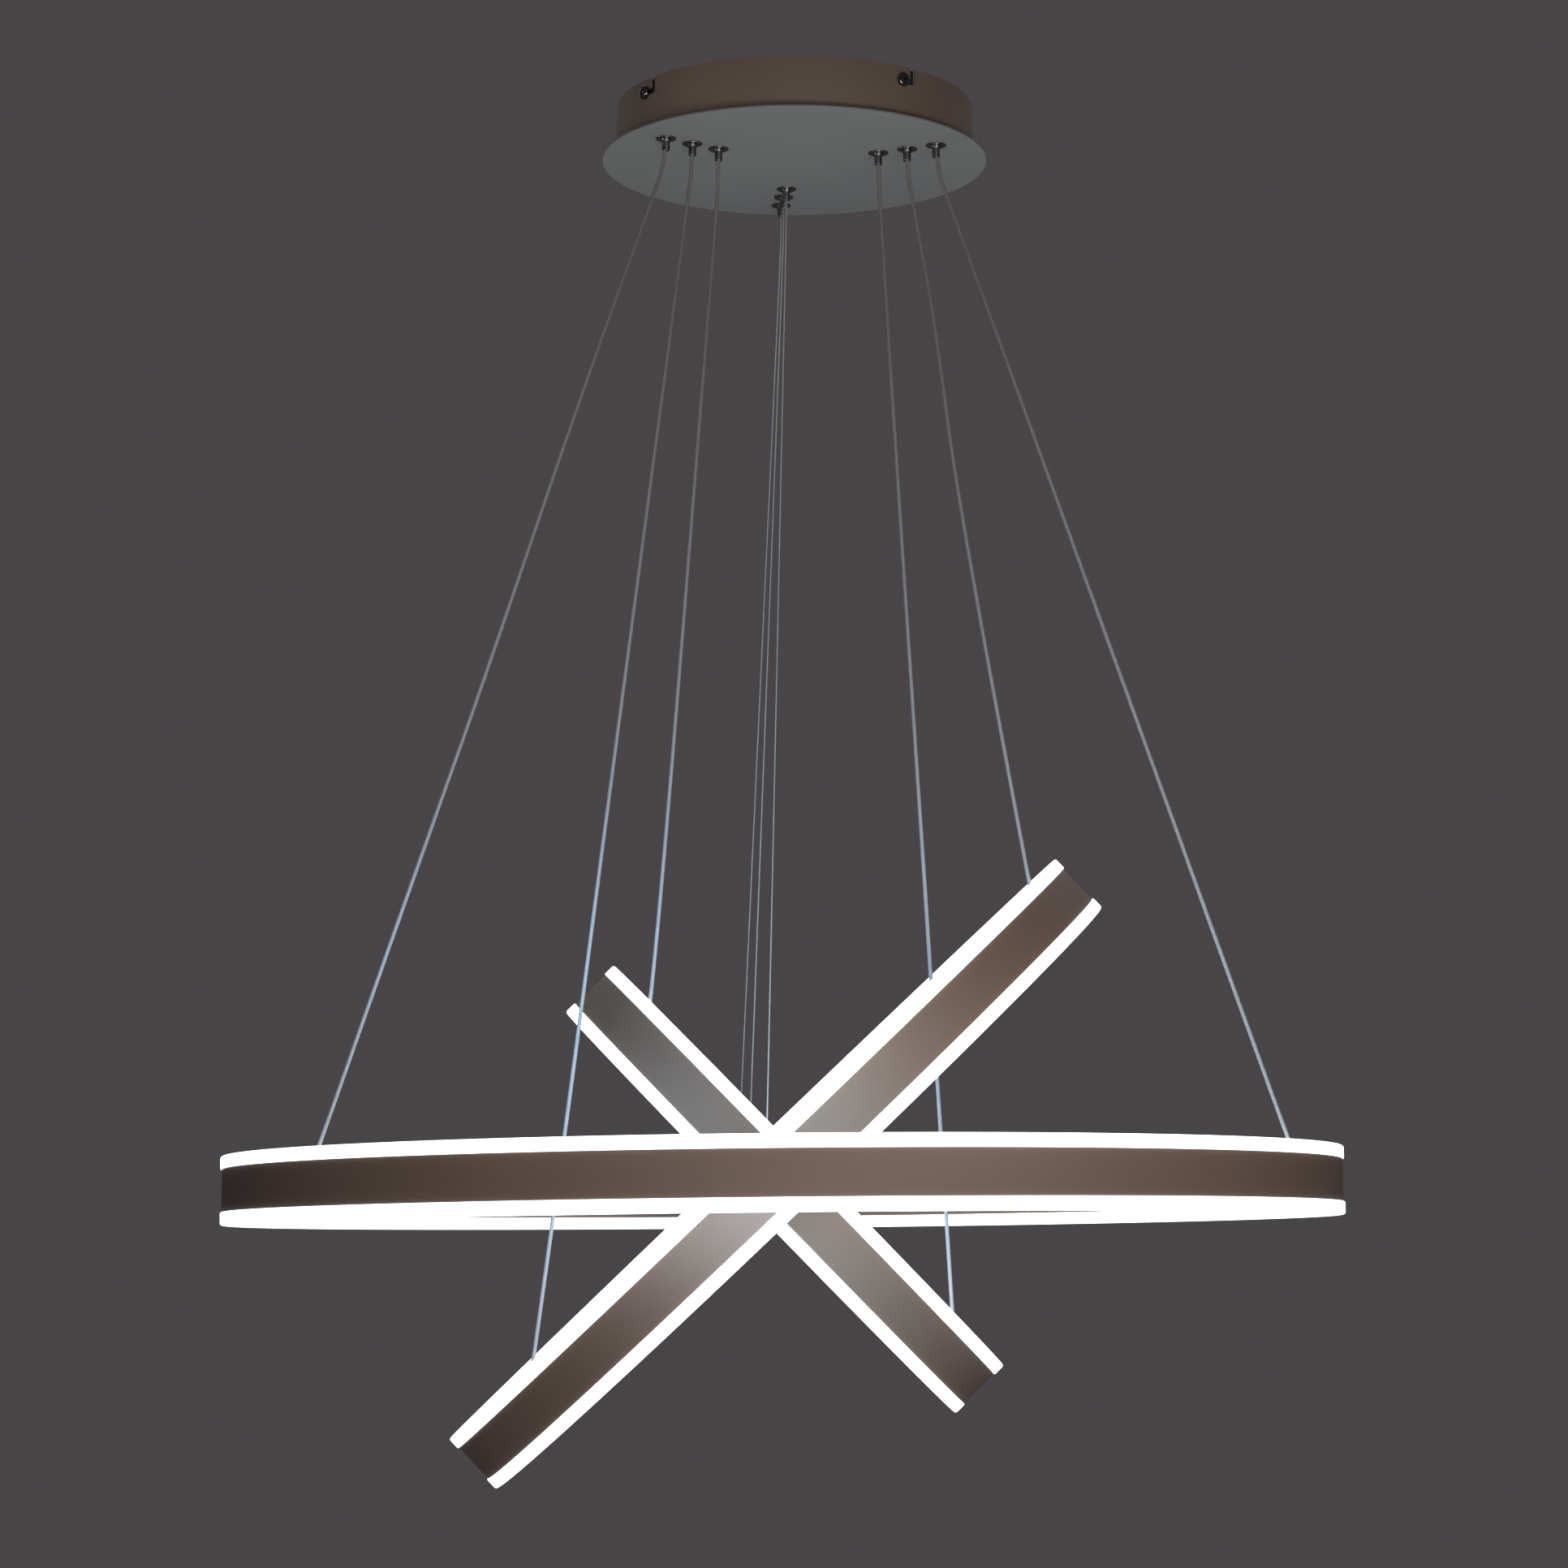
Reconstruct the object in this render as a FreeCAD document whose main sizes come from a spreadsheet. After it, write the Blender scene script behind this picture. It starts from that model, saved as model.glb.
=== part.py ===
import FreeCAD, Part
import math
import os
import re
import Sketcher

# A chandelier of three lit rings, one inside the other, that hang on nine wires from a round canopy.
# The frame: +Z is up and the origin is in the ceiling plane, at the canopy's centre.
# Lengths are in millimetres and angles in degrees. A name that ends in count is a plain number.
sizes = {
    # canopy: a turned-in sheet wall with a wider round plate below it
    "canopy_drop": 40.0,
    "wall_margin": 18.5,
    "wall_sheet": 1.0,
    "flange_margin": 3.5,
    "plate_lip": 10.0,
    "plate_thickness": 1.5,
    "plate_edge": 0.4,
    "stud_radius": 1.5,
    "stud_length": 5.0,
    "stud_inset": 6.5,
    "stud_angle": 65.0,
    "stud_count": 4,
    "stud_gap": 0.2,
    "stud_nut_width": 5.5,
    "stud_nut_height": 2.4,
    # side screws, and the bayonet slots in the wall that hook over them
    "side_screw_radius": 2.0,
    "side_screw_length": 9.0,
    "side_screw_drop": 9.9,
    "side_screw_angle": 35.6,
    "side_screw_count": 4,
    "screw_head_radius": 5.0,
    "screw_head_height": 3.0,
    "screw_head_crown": 1.2,
    "screw_recess_length": 5.0,
    "screw_recess_width": 1.1,
    "screw_recess_depth": 1.6,
    "slot_gap": 0.2,
    "twist_angle": 3.9,
    # ceiling bracket: a steel cross whose arm ends are folded down
    "bracket_sheet": 1.5,
    "bracket_gap": 0.8,
    "arm_width": 22.0,
    "tab_length": 18.0,
    "fold_radius": 2.0,
    "hub_radius": 38.0,
    "cable_hole_radius": 10.0,
    "fixing_circle_radius": 60.0,
    "fixing_hole_radius": 2.75,
    "thread_gap": 0.05,
    # mains terminal block under the bracket
    "terminal_length": 36.0,
    "terminal_width": 18.0,
    "terminal_height": 13.0,
    "terminal_place": 25.0,
    "terminal_pitch": 11.0,
    "terminal_count": 3,
    "terminal_entry_radius": 2.2,
    "terminal_well_radius": 2.4,
    "terminal_floor": 2.0,
    "terminal_screw_radius": 1.8,
    "terminal_screw_length": 4.0,
    # drivers, one for each ring
    "driver_length": 110.0,
    "driver_width": 36.0,
    "driver_height": 22.0,
    "driver_corner": 4.0,
    "driver_wall_gap": 20.1,
    "driver_angle": 35.0,
    "driver_ear_length": 8.0,
    "driver_ear_thickness": 2.0,
    "driver_ear_hole_radius": 1.75,
    # cable grips: three rows of three, and the nozzle that lets the wire go when it is pushed up
    "grip_inner_radius": 68.0,
    "grip_pitch": 23.0,
    "row_angle": 95.0,
    "row_count": 3,
    "grip_flange_radius": 7.5,
    "grip_flange_thickness": 1.0,
    "dome_radius": 4.1,
    "dome_height": 2.0,
    "dome_edge": 0.8,
    "grip_shank_radius": 5.0,
    "grip_rise": 11.0,
    "grip_cap": 2.0,
    "chamber_radius": 3.9,
    "grip_hole_gap": 0.2,
    "grip_nut_width": 13.0,
    "grip_nut_height": 3.0,
    "nozzle_radius": 2.85,
    "nozzle_drop": 9.3,
    "nozzle_fit": 0.08,
    "collar_thickness": 1.5,
    "collar_gap": 0.2,
    "spring_wall": 0.5,
    # wires
    "power_wire_radius": 1.35,
    "steel_wire_radius": 0.6,
    "wire_bend_drop": 17.5,
    "wire_gap": 0.3,
    "wire_fit": 0.05,
    # rings: a brown band with a channel on either side, each closed by a milky cover
    "large_radius": 400.0,
    "medium_radius": 300.0,
    "small_radius": 200.0,
    "ring_width": 20.0,
    "band_height": 30.0,
    "band_inset": 1.0,
    "band_wall": 1.6,
    "band_web": 2.0,
    "diffuser_height": 9.0,
    "diffuser_edge": 1.5,
    "board_side_gap": 3.4,
    "board_thickness": 1.2,
    "board_count": 24,
    "board_gap": 1.0,
    "anchor_length": 16.0,
    "anchor_gap": 0.3,
    "anchor_depth": 6.0,
    "overrun": 5.0,
    # where the rings hang, and each ring's centre: across, back and up from there
    "ring_drop": 796.5,
    "large_across": -8.8,
    "large_back": 0.0,
    "large_rise": 0.0,
    "medium_across": -12.3,
    "medium_back": 4.8,
    "medium_rise": 12.1,
    "small_across": -8.0,
    "small_back": 0.2,
    "small_rise": -0.3,
    # how far each ring leans to the side and nods to the back
    "large_lean_angle": -0.57,
    "large_nod_angle": -0.98,
    "medium_lean_angle": -43.64,
    "medium_nod_angle": 1.32,
    "small_lean_angle": 45.6,
    "small_nod_angle": 0.29,
}

# The rings, the rows of grips with each row's turn round the canopy, and each ring's place in a row.
rings = ["large", "medium", "small"]
rowTurns = {"rear": 0, "left": 1, "right": 2}
gripSteps = {"small": 0, "medium": 1, "large": 2}

# Sizes that follow from others: the wall goes round the outermost grips, the plate is wider than the
# wall, the studs and the drivers' outer corners stand inside the wall, and the boards in the channels.
derived = {
    "wall_radius": f"grip_inner_radius + {gripSteps['large']} * grip_pitch + wall_margin",
    "flange_width": "stud_inset + flange_margin",
    "plate_radius": "wall_radius + plate_lip",
    "stud_circle_radius": "wall_radius - stud_inset",
    "board_width": "ring_width - 2 * (band_inset + band_wall + board_side_gap)",
    "driver_reach": "wall_radius - driver_wall_gap",
    "driver_circle_radius": "sqrt(driver_reach^2 - (driver_length / 2)^2) - driver_width / 2",
}

# The nine wires: the angle round the ring at which each one ends, and the points that it passes
# below its first bend.
wireEnds = {
    ("large", "left"): 218.1,
    ("large", "right"): 331.5,
    ("large", "rear"): 95.5,
    ("medium", "left"): 221.5,
    ("medium", "right"): 331.2,
    ("medium", "rear"): 92.5,
    ("small", "left"): 218.8,
    ("small", "right"): 323.3,
    ("small", "rear"): 100.5,
}
wirePoints = {
    ("large", "left"): [(-149, -107, -235), (-217, -163, -464), (-242, -181, -539)],
    ("large", "right"): [(171, -86, -260)],
    ("large", "rear"): [],
    ("medium", "left"): [(-130, -123, -515), (-155, -162, -763)],
    ("medium", "right"): [(100, -58, -177), (119, -85, -325)],
    ("medium", "rear"): [],
    ("small", "left"): [(-67, -60, -225), (-95, -111, -622)],
    ("small", "right"): [(73, -46, -234), (94, -89, -654)],
    ("small", "rear"): [],
}
wireArcShare = 0.45

X = FreeCAD.Vector(1, 0, 0)
Y = FreeCAD.Vector(0, 1, 0)
Z = FreeCAD.Vector(0, 0, 1)

doc = FreeCAD.newDocument("chandelier")
sheet = doc.addObject("Spreadsheet::Sheet", "Sizes")


def fillSheet():
    formulas = {name: "=" + text for name, text in derived.items()}
    for row, (name, entry) in enumerate({**sizes, **formulas}.items(), start=1):
        sheet.set(f"A{row}", name)
        sheet.set(f"B{row}", str(entry))
        sheet.setAlias(f"B{row}", name)
    doc.recompute()


def cells(text):
    """The text of a sum, with each size's name turned into its cell of the sheet."""
    named = {**sizes, **derived}
    return re.sub(r"[a-z_]+", lambda word: "Sizes." + word[0] if word[0] in named else word[0], text)


def size(text):
    """What a sum of sizes comes to, as a plain number."""
    result = sheet.evalExpression(cells(text))
    return float(getattr(result, "Value", result))


def bind(thing, **sums):
    """Ties each named property to a sum of sizes."""
    for name, text in sums.items():
        thing.setExpression(name, cells(text))


def turned(angle, place=FreeCAD.Vector(0, 0, 0)):
    """A placement that is turned about +Z, after it is moved to a place."""
    turn = FreeCAD.Rotation(Z, angle)
    return FreeCAD.Placement(turn.multVec(place), turn)


def newBody(name, place=None):
    body = doc.addObject("PartDesign::Body", name)
    body.Label = name
    if place:
        body.Placement = place
    return body


def newSketch(body, name, plane, rise=None):
    sketch = body.newObject("Sketcher::SketchObject", name)
    support = [part for part in body.Origin.OriginFeatures if part.Role == plane][0]
    sketch.AttachmentSupport = (support, "")
    sketch.MapMode = "FlatFace"
    if rise:
        sketch.setExpression("AttachmentOffset.Base.z", cells(rise))
    return sketch


def pin(sketch, shape, end, across, up):
    """Holds one point of a sketch at two sums of sizes from the sketch's origin."""
    for kind, text in (("DistanceX", across), ("DistanceY", up)):
        number = sketch.addConstraint(Sketcher.Constraint(kind, -1, 1, shape, end, size(text)))
        sketch.setExpression(f"Constraints[{number}]", cells(text))


def outline(body, name, plane, points, rise=None):
    """A closed outline of straight lines through points that are given as sums of sizes."""
    sketch = newSketch(body, name, plane, rise)
    places = [FreeCAD.Vector(size(across), size(up), 0) for across, up in points]
    lines = [
        sketch.addGeometry(Part.LineSegment(start, stop), False)
        for start, stop in zip(places, places[1:] + places[:1])
    ]
    for line, after in zip(lines, lines[1:] + lines[:1]):
        sketch.addConstraint(Sketcher.Constraint("Coincident", line, 2, after, 1))
    for line, (across, up) in zip(lines, points):
        pin(sketch, line, 1, across, up)
    return sketch


def rectangle(body, name, half, wide):
    """A level rectangle about the body's origin, given by the sums for its two half widths."""
    return outline(body, name, "XY_Plane", [
        (f"-{half}", f"-{wide}"), (half, f"-{wide}"), (half, wide), (f"-{half}", wide)])


def circles(body, name, plane, rounds, rise=None):
    """One sketch of circles, each given as the sums for its centre and its radius."""
    sketch = newSketch(body, name, plane, rise)
    for across, up, radius in rounds:
        centre = FreeCAD.Vector(size(across), size(up), 0)
        circle = sketch.addGeometry(Part.Circle(centre, Z, size(radius)), False)
        pin(sketch, circle, 3, across, up)
        number = sketch.addConstraint(Sketcher.Constraint("Radius", circle, size(radius)))
        sketch.setExpression(f"Constraints[{number}]", cells(radius))
    return sketch


def revolve(body, sketch, axis="V_Axis"):
    turn = body.newObject("PartDesign::Revolution", "Turned")
    turn.Profile = sketch
    turn.ReferenceAxis = (sketch, [axis])
    turn.Angle = 360
    sketch.Visibility = False
    return turn


def pad(body, sketch, length, both=False, down=False):
    feature = body.newObject("PartDesign::Pad", "Raised")
    feature.Profile = sketch
    feature.setExpression("Length", cells(length))
    feature.Midplane = both
    feature.Reversed = down
    return feature


def pocket(body, sketch, length, both=False, forward=False):
    """A cut against the sketch's own direction, along it where forward, or to both sides."""
    feature = body.newObject("PartDesign::Pocket", "Cut")
    feature.Profile = sketch
    feature.setExpression("Length", cells(length))
    feature.Midplane = both
    feature.Reversed = forward
    return feature


def aroundAxis(body, features, count):
    """The same features again, evenly round the body's upright axis."""
    pattern = body.newObject("PartDesign::PolarPattern", "Round")
    pattern.Originals = features
    pattern.Axis = ([part for part in body.Origin.OriginFeatures if part.Role == "Z_Axis"][0], [""])
    pattern.Angle = 360
    pattern.setExpression("Occurrences", cells(count))
    body.Tip = pattern
    return pattern


def group(name, members):
    """Like pieces that share one node, as separate solids."""
    together = doc.addObject("Part::Compound", name)
    together.Label = name
    together.Links = members
    return together


def cutBy(name, base, tools):
    """A piece less the tools; a single tool or several."""
    cut = doc.addObject("Part::Cut", name)
    cut.Label = name
    cut.Base = base
    cut.Tool = tools[0] if len(tools) == 1 else group(name + "_tools", tools)
    return cut


def cylinder(name, radius, height, place):
    rod = doc.addObject("Part::Cylinder", name)
    bind(rod, Radius=radius, Height=height)
    rod.Placement = place
    return rod


def hexNut(name, flats, height, hole, place):
    """A hexagon nut that stands on its place."""
    block = doc.addObject("Part::Prism", name + "_block")
    block.Polygon = 6
    bind(block, Circumradius=f"{flats} / 2 / cos(30 deg)", Height=height)
    block.Placement = place
    return cutBy(name, block, [cylinder(name + "_hole", hole, height, place)])


# Ceiling bracket, its screws and the mains terminal


def makeBracket():
    body = newBody("ceiling_bracket", turned(size("side_screw_angle")))
    reach = "(wall_radius - wall_sheet - bracket_gap)"
    arm = outline(body, "arm", "XZ_Plane", [
        ("0", "0"),
        (reach, "0"),
        (reach, "-tab_length"),
        (f"{reach} - bracket_sheet", "-tab_length"),
        (f"{reach} - bracket_sheet", "-bracket_sheet"),
        ("0", "-bracket_sheet"),
    ])
    armPad = pad(body, arm, "arm_width", both=True)
    hole = circles(body, "screw_hole", "YZ_Plane", [
        ("0", "-side_screw_drop", "side_screw_radius + thread_gap")])
    screwHole = pocket(body, hole, f"{reach} + overrun", forward=True)
    fixing = circles(body, "fixing_hole", "XY_Plane", [
        ("fixing_circle_radius", "0", "fixing_hole_radius")])
    fixingHole = pocket(body, fixing, "bracket_sheet + overrun")
    aroundAxis(body, [armPad, screwHole, fixingHole], "side_screw_count")
    hub = circles(body, "hub", "XY_Plane", [("0", "0", "hub_radius")])
    pad(body, hub, "bracket_sheet", down=True)
    cable = circles(body, "cable_hole", "XY_Plane", [("0", "0", "cable_hole_radius")])
    last = pocket(body, cable, "bracket_sheet + overrun")
    doc.recompute()
    foldedEdges = [
        f"Edge{number}"
        for number, edge in enumerate(last.Shape.Edges, start=1)
        if edge.CenterOfMass.z > -size("bracket_sheet / 2")
        and math.hypot(edge.CenterOfMass.x, edge.CenterOfMass.y) > size(f"{reach} - bracket_sheet / 2")
    ]
    fold = body.newObject("PartDesign::Fillet", "Fold")
    fold.Base = (last, foldedEdges)
    fold.setExpression("Radius", cells("fold_radius"))
    return body


def makeSideScrews():
    """Pan-head screws with a cross recess; each one's shank points at the canopy's axis."""
    screws = []
    for turn in range(int(size("side_screw_count"))):
        angle = size("side_screw_angle") + 360 * turn / size("side_screw_count")
        seat = FreeCAD.Vector(size("wall_radius + slot_gap"), 0, -size("side_screw_drop"))
        body = newBody(f"side_screw_{turn + 1}", turned(angle, seat))
        side = outline(body, "side", "XY_Plane", [
            ("-side_screw_length", "0"),
            ("-side_screw_length", "side_screw_radius"),
            ("0", "side_screw_radius"),
            ("0", "screw_head_radius"),
            ("screw_head_height - screw_head_crown", "screw_head_radius"),
            ("screw_head_height", "screw_head_radius - screw_head_crown"),
            ("screw_head_height", "0"),
        ])
        revolve(body, side, "H_Axis")
        long, short = "screw_recess_length / 2", "screw_recess_width / 2"
        corners = [(long, short), (short, short), (short, long)]
        half = corners + [(f"-{across}", up) for across, up in reversed(corners)]
        under = [(across, f"-{up}") for across, up in reversed(half)]
        cross = outline(body, "cross", "YZ_Plane", half + under, rise="screw_head_height")
        pocket(body, cross, "screw_recess_depth")
        screws.append(body)
    return group("side_screws", screws)


def makeTerminal():
    """A three-way block beside the cable hole, with a well for each clamping screw."""
    place = turned(size("side_screw_angle + 180 / side_screw_count"),
                   FreeCAD.Vector(size("terminal_place"), 0, -size("bracket_sheet")))
    body = newBody("terminal_block", place)
    base = rectangle(body, "base", "terminal_width / 2", "terminal_length / 2")
    pad(body, base, "terminal_height", down=True)
    steps = [
        f"({step} - (terminal_count - 1) / 2) * terminal_pitch"
        for step in range(int(size("terminal_count")))
    ]
    entries = circles(body, "entries", "YZ_Plane", [
        (step, "-terminal_height / 2", "terminal_entry_radius") for step in steps])
    pocket(body, entries, "terminal_width + overrun", both=True)
    wells = circles(body, "wells", "XY_Plane", [
        ("0", step, "terminal_well_radius") for step in steps], rise="-terminal_height")
    pocket(body, wells, "terminal_height / 2", forward=True)
    screws = []
    for number, step in enumerate(steps, start=1):
        name = f"terminal_screw_{number}"
        well = FreeCAD.Vector(0, size(step), -size("terminal_height - terminal_floor"))
        foot = place.multiply(FreeCAD.Placement(well, FreeCAD.Rotation()))
        screws.append(cylinder(name, "terminal_screw_radius", "terminal_screw_length", foot))
    return [body, group("terminal_screws", screws)]


# Canopy


def makeShell():
    """The wall with its turned-in flange, four bayonet slots and the holes for the plate's studs."""
    body = newBody("canopy_shell", turned(size("side_screw_angle")))
    low = "plate_thickness - canopy_drop"
    section = outline(body, "section", "XZ_Plane", [
        ("wall_radius - wall_sheet", "0"),
        ("wall_radius", "0"),
        ("wall_radius", low),
        ("wall_radius - flange_width", low),
        ("wall_radius - flange_width", f"{low} + wall_sheet"),
        ("wall_radius - wall_sheet", f"{low} + wall_sheet"),
    ])
    revolve(body, section)
    half = "(side_screw_radius + slot_gap)"
    across = "wall_radius * tan(twist_angle * 1 deg)"
    slot = outline(body, "slot", "YZ_Plane", [
        ("0", f"-side_screw_drop - {half}"),
        (f"{across} + {half}", f"-side_screw_drop - {half}"),
        (f"{across} + {half}", "overrun"),
        (f"{across} - {half}", "overrun"),
        (f"{across} - {half}", f"-side_screw_drop + {half}"),
        ("0", f"-side_screw_drop + {half}"),
    ])
    slotCut = pocket(body, slot, "wall_radius + overrun", forward=True)
    seat = circles(body, "seat", "YZ_Plane", [("0", "-side_screw_drop", half)])
    seatCut = pocket(body, seat, "wall_radius + overrun", forward=True)
    aroundAxis(body, [slotCut, seatCut], "side_screw_count")
    turn = "(stud_angle * 1 deg)"
    stud = circles(body, "stud_hole", "XY_Plane", [
        (f"stud_circle_radius * cos{turn}", f"stud_circle_radius * sin{turn}", "stud_radius + stud_gap")])
    studCut = pocket(body, stud, "canopy_drop + overrun")
    aroundAxis(body, [studCut], "stud_count")
    return body


def makePlate():
    """The round underside, with a hole for each grip and four welded studs."""
    place = turned(size("side_screw_angle"), FreeCAD.Vector(0, 0, -size("canopy_drop")))
    body = newBody("canopy_plate", place)
    disc = circles(body, "disc", "XY_Plane", [("0", "0", "plate_radius")])
    raised = pad(body, disc, "plate_thickness")
    doc.recompute()
    rims = [
        f"Edge{number}"
        for number, edge in enumerate(raised.Shape.Edges, start=1)
        if edge.BoundBox.ZMax < size("plate_thickness / 2")
    ]
    rim = body.newObject("PartDesign::Chamfer", "Rim")
    rim.Base = (raised, rims)
    rim.setExpression("Size", cells("plate_edge"))
    turn = "((row_angle - side_screw_angle) * 1 deg)"
    radii = [f"(grip_inner_radius + {step} * grip_pitch)" for step in range(len(gripSteps))]
    row = circles(body, "grip_row", "XY_Plane", [
        (f"{radius} * cos{turn}", f"{radius} * sin{turn}", "grip_shank_radius + grip_hole_gap")
        for radius in radii
    ])
    rowCut = pocket(body, row, "plate_thickness + overrun", forward=True)
    aroundAxis(body, [rowCut], "row_count")
    turn = "(stud_angle * 1 deg)"
    stud = circles(body, "stud", "XY_Plane", [
        (f"stud_circle_radius * cos{turn}", f"stud_circle_radius * sin{turn}", "stud_radius")])
    studPad = pad(body, stud, "plate_thickness + stud_length")
    aroundAxis(body, [studPad], "stud_count")
    return body


def makePlateNuts():
    nuts = []
    for turn in range(int(size("stud_count"))):
        angle = size("side_screw_angle + stud_angle") + 360 * turn / size("stud_count")
        high = size("plate_thickness + wall_sheet - canopy_drop")
        place = turned(angle, FreeCAD.Vector(size("stud_circle_radius"), 0, high))
        nuts.append(hexNut(f"plate_nut_{turn + 1}", "stud_nut_width", "stud_nut_height",
                           "stud_radius + thread_gap", place))
    return group("plate_nuts", nuts)


def makeDriver(name, turn):
    """A driver in its case, with an ear at either end, on the plate between two rows of grips."""
    place = turned(size("driver_angle") + 360 * turn / size("row_count"),
                   FreeCAD.Vector(size("driver_circle_radius"), 0, size("plate_thickness - canopy_drop")))
    body = newBody(name, place)
    base = rectangle(body, "base", "driver_width / 2", "(driver_length / 2 - driver_ear_length)")
    raised = pad(body, base, "driver_height")
    doc.recompute()
    corners = [
        f"Edge{number}"
        for number, edge in enumerate(raised.Shape.Edges, start=1)
        if edge.BoundBox.ZLength > size("driver_height / 2")
    ]
    corner = body.newObject("PartDesign::Fillet", "Corners")
    corner.Base = (raised, corners)
    corner.setExpression("Radius", cells("driver_corner"))
    ears = rectangle(body, "ears", "driver_width / 4", "driver_length / 2")
    pad(body, ears, "driver_ear_thickness")
    middle = "(driver_length / 2 - driver_ear_length / 2)"
    holes = circles(body, "ear_holes", "XY_Plane", [
        ("0", middle, "driver_ear_hole_radius"), ("0", f"-{middle}", "driver_ear_hole_radius")])
    pocket(body, holes, "driver_ear_thickness + overrun", forward=True)
    return body


# Cable grips


def wireRadius(row):
    return "steel_wire_radius" if row == "rear" else "power_wire_radius"


def gripPlace(ring, row):
    """Where a grip's axis meets the plate's underside."""
    radius = size(f"grip_inner_radius + {gripSteps[ring]} * grip_pitch")
    angle = size("row_angle") + 360 * rowTurns[row] / size("row_count")
    return turned(angle, FreeCAD.Vector(radius, 0, -size("canopy_drop")))


def makeGripBody(ring, row):
    """The flange and dome below the plate, and the hollow shank above it."""
    body = newBody(f"grip_{ring}_{row}", gripPlace(ring, row))
    bore = "nozzle_radius + nozzle_fit"
    low = "-grip_flange_thickness - dome_height"
    hole = f"{wireRadius(row)} + wire_fit"
    section = outline(body, "section", "XZ_Plane", [
        (bore, low),
        ("dome_radius - dome_edge", low),
        ("dome_radius", f"{low} + dome_edge"),
        ("dome_radius", "-grip_flange_thickness"),
        ("grip_flange_radius", "-grip_flange_thickness"),
        ("grip_flange_radius", "0"),
        ("grip_shank_radius", "0"),
        ("grip_shank_radius", "grip_rise"),
        (hole, "grip_rise"),
        (hole, "grip_rise - grip_cap"),
        ("chamber_radius", "grip_rise - grip_cap"),
        ("chamber_radius", "0"),
        (bore, "0"),
    ])
    revolve(body, section)
    return body


def makeNozzle(ring, row):
    """The tube that is pushed up to free the wire; its collar rests on the floor of the chamber."""
    body = newBody(f"grip_nozzle_{ring}_{row}", gripPlace(ring, row))
    bore = f"{wireRadius(row)} + wire_gap"
    section = outline(body, "section", "XZ_Plane", [
        (bore, "-nozzle_drop"),
        ("nozzle_radius", "-nozzle_drop"),
        ("nozzle_radius", "collar_gap"),
        ("chamber_radius - collar_gap", "collar_gap"),
        ("chamber_radius - collar_gap", "collar_gap + collar_thickness"),
        (bore, "collar_gap + collar_thickness"),
    ])
    revolve(body, section)
    return body


def makeSpring(ring, row):
    """The room that the coil spring above the collar takes, as a plain sleeve."""
    body = newBody(f"grip_spring_{ring}_{row}", gripPlace(ring, row))
    outer = "(chamber_radius - collar_gap)"
    low, high = "2 * collar_gap + collar_thickness", "grip_rise - grip_cap - collar_gap"
    section = outline(body, "section", "XZ_Plane", [
        (f"{outer} - spring_wall", low), (outer, low), (outer, high), (f"{outer} - spring_wall", high)])
    revolve(body, section)
    return body


def makeGripNut(ring, row):
    place = gripPlace(ring, row)
    place.Base.z += size("plate_thickness")
    return hexNut(f"grip_nut_{ring}_{row}", "grip_nut_width", "grip_nut_height",
                  "grip_shank_radius + thread_gap", place)


# Rings


def ringPlace(ring):
    centre = FreeCAD.Vector(size(f"{ring}_across"), size(f"{ring}_back"), size(f"{ring}_rise - ring_drop"))
    lean = FreeCAD.Rotation(Y, size(f"{ring}_lean_angle"))
    nod = FreeCAD.Rotation(X, size(f"{ring}_nod_angle"))
    return FreeCAD.Placement(centre, lean.multiply(nod))


def channelMiddle(ring):
    return f"({ring}_radius - ring_width / 2)"


def makeBand(ring):
    """The band: two walls and a web between them, so that it has a channel above and one below."""
    body = newBody(f"{ring}_band", ringPlace(ring))
    outer = f"{ring}_radius - band_inset"
    inner = f"{ring}_radius - ring_width + band_inset"
    high, web = "band_height / 2", "band_web / 2"
    section = outline(body, "section", "XZ_Plane", [
        (outer, f"-{high}"),
        (outer, high),
        (f"{outer} - band_wall", high),
        (f"{outer} - band_wall", web),
        (f"{inner} + band_wall", web),
        (f"{inner} + band_wall", high),
        (inner, high),
        (inner, f"-{high}"),
        (f"{inner} + band_wall", f"-{high}"),
        (f"{inner} + band_wall", f"-{web}"),
        (f"{outer} - band_wall", f"-{web}"),
        (f"{outer} - band_wall", f"-{high}"),
    ])
    revolve(body, section)
    return body


def makeDiffuser(name, ring, side):
    """A milky cover that stands on the band's two walls; side is 1 above the band and -1 below it."""
    body = newBody(name, ringPlace(ring))
    outer, inner = f"{ring}_radius", f"{ring}_radius - ring_width"
    low, high = f"{side} * band_height / 2", f"{side} * (band_height / 2 + diffuser_height)"
    section = outline(body, "section", "XZ_Plane", [
        (inner, low),
        (outer, low),
        (outer, f"{high} - {side} * diffuser_edge"),
        (f"{outer} - diffuser_edge", high),
        (f"{inner} + diffuser_edge", high),
        (inner, f"{high} - {side} * diffuser_edge"),
    ])
    revolve(body, section)
    return body


def makeBoards(name, ring, side, angles):
    """Straight LED boards, end to end in a channel, on the web; side is as for the covers."""
    length = f"(2 * ({channelMiddle(ring)} - board_width / 2) * tan(180 deg / board_count) - board_gap)"
    low = size("band_web / 2") if side > 0 else -size("band_web / 2 + board_thickness")
    corner = FreeCAD.Vector(size(f"{channelMiddle(ring)} - board_width / 2"), -size(length) / 2, low)
    boards = []
    for number, angle in enumerate(angles, start=1):
        board = doc.addObject("Part::Box", f"{name}_{number}")
        bind(board, Length="board_width", Width=length, Height="board_thickness")
        board.Placement = ringPlace(ring).multiply(turned(angle, corner))
        boards.append(board)
    return group(name, boards)


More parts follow.
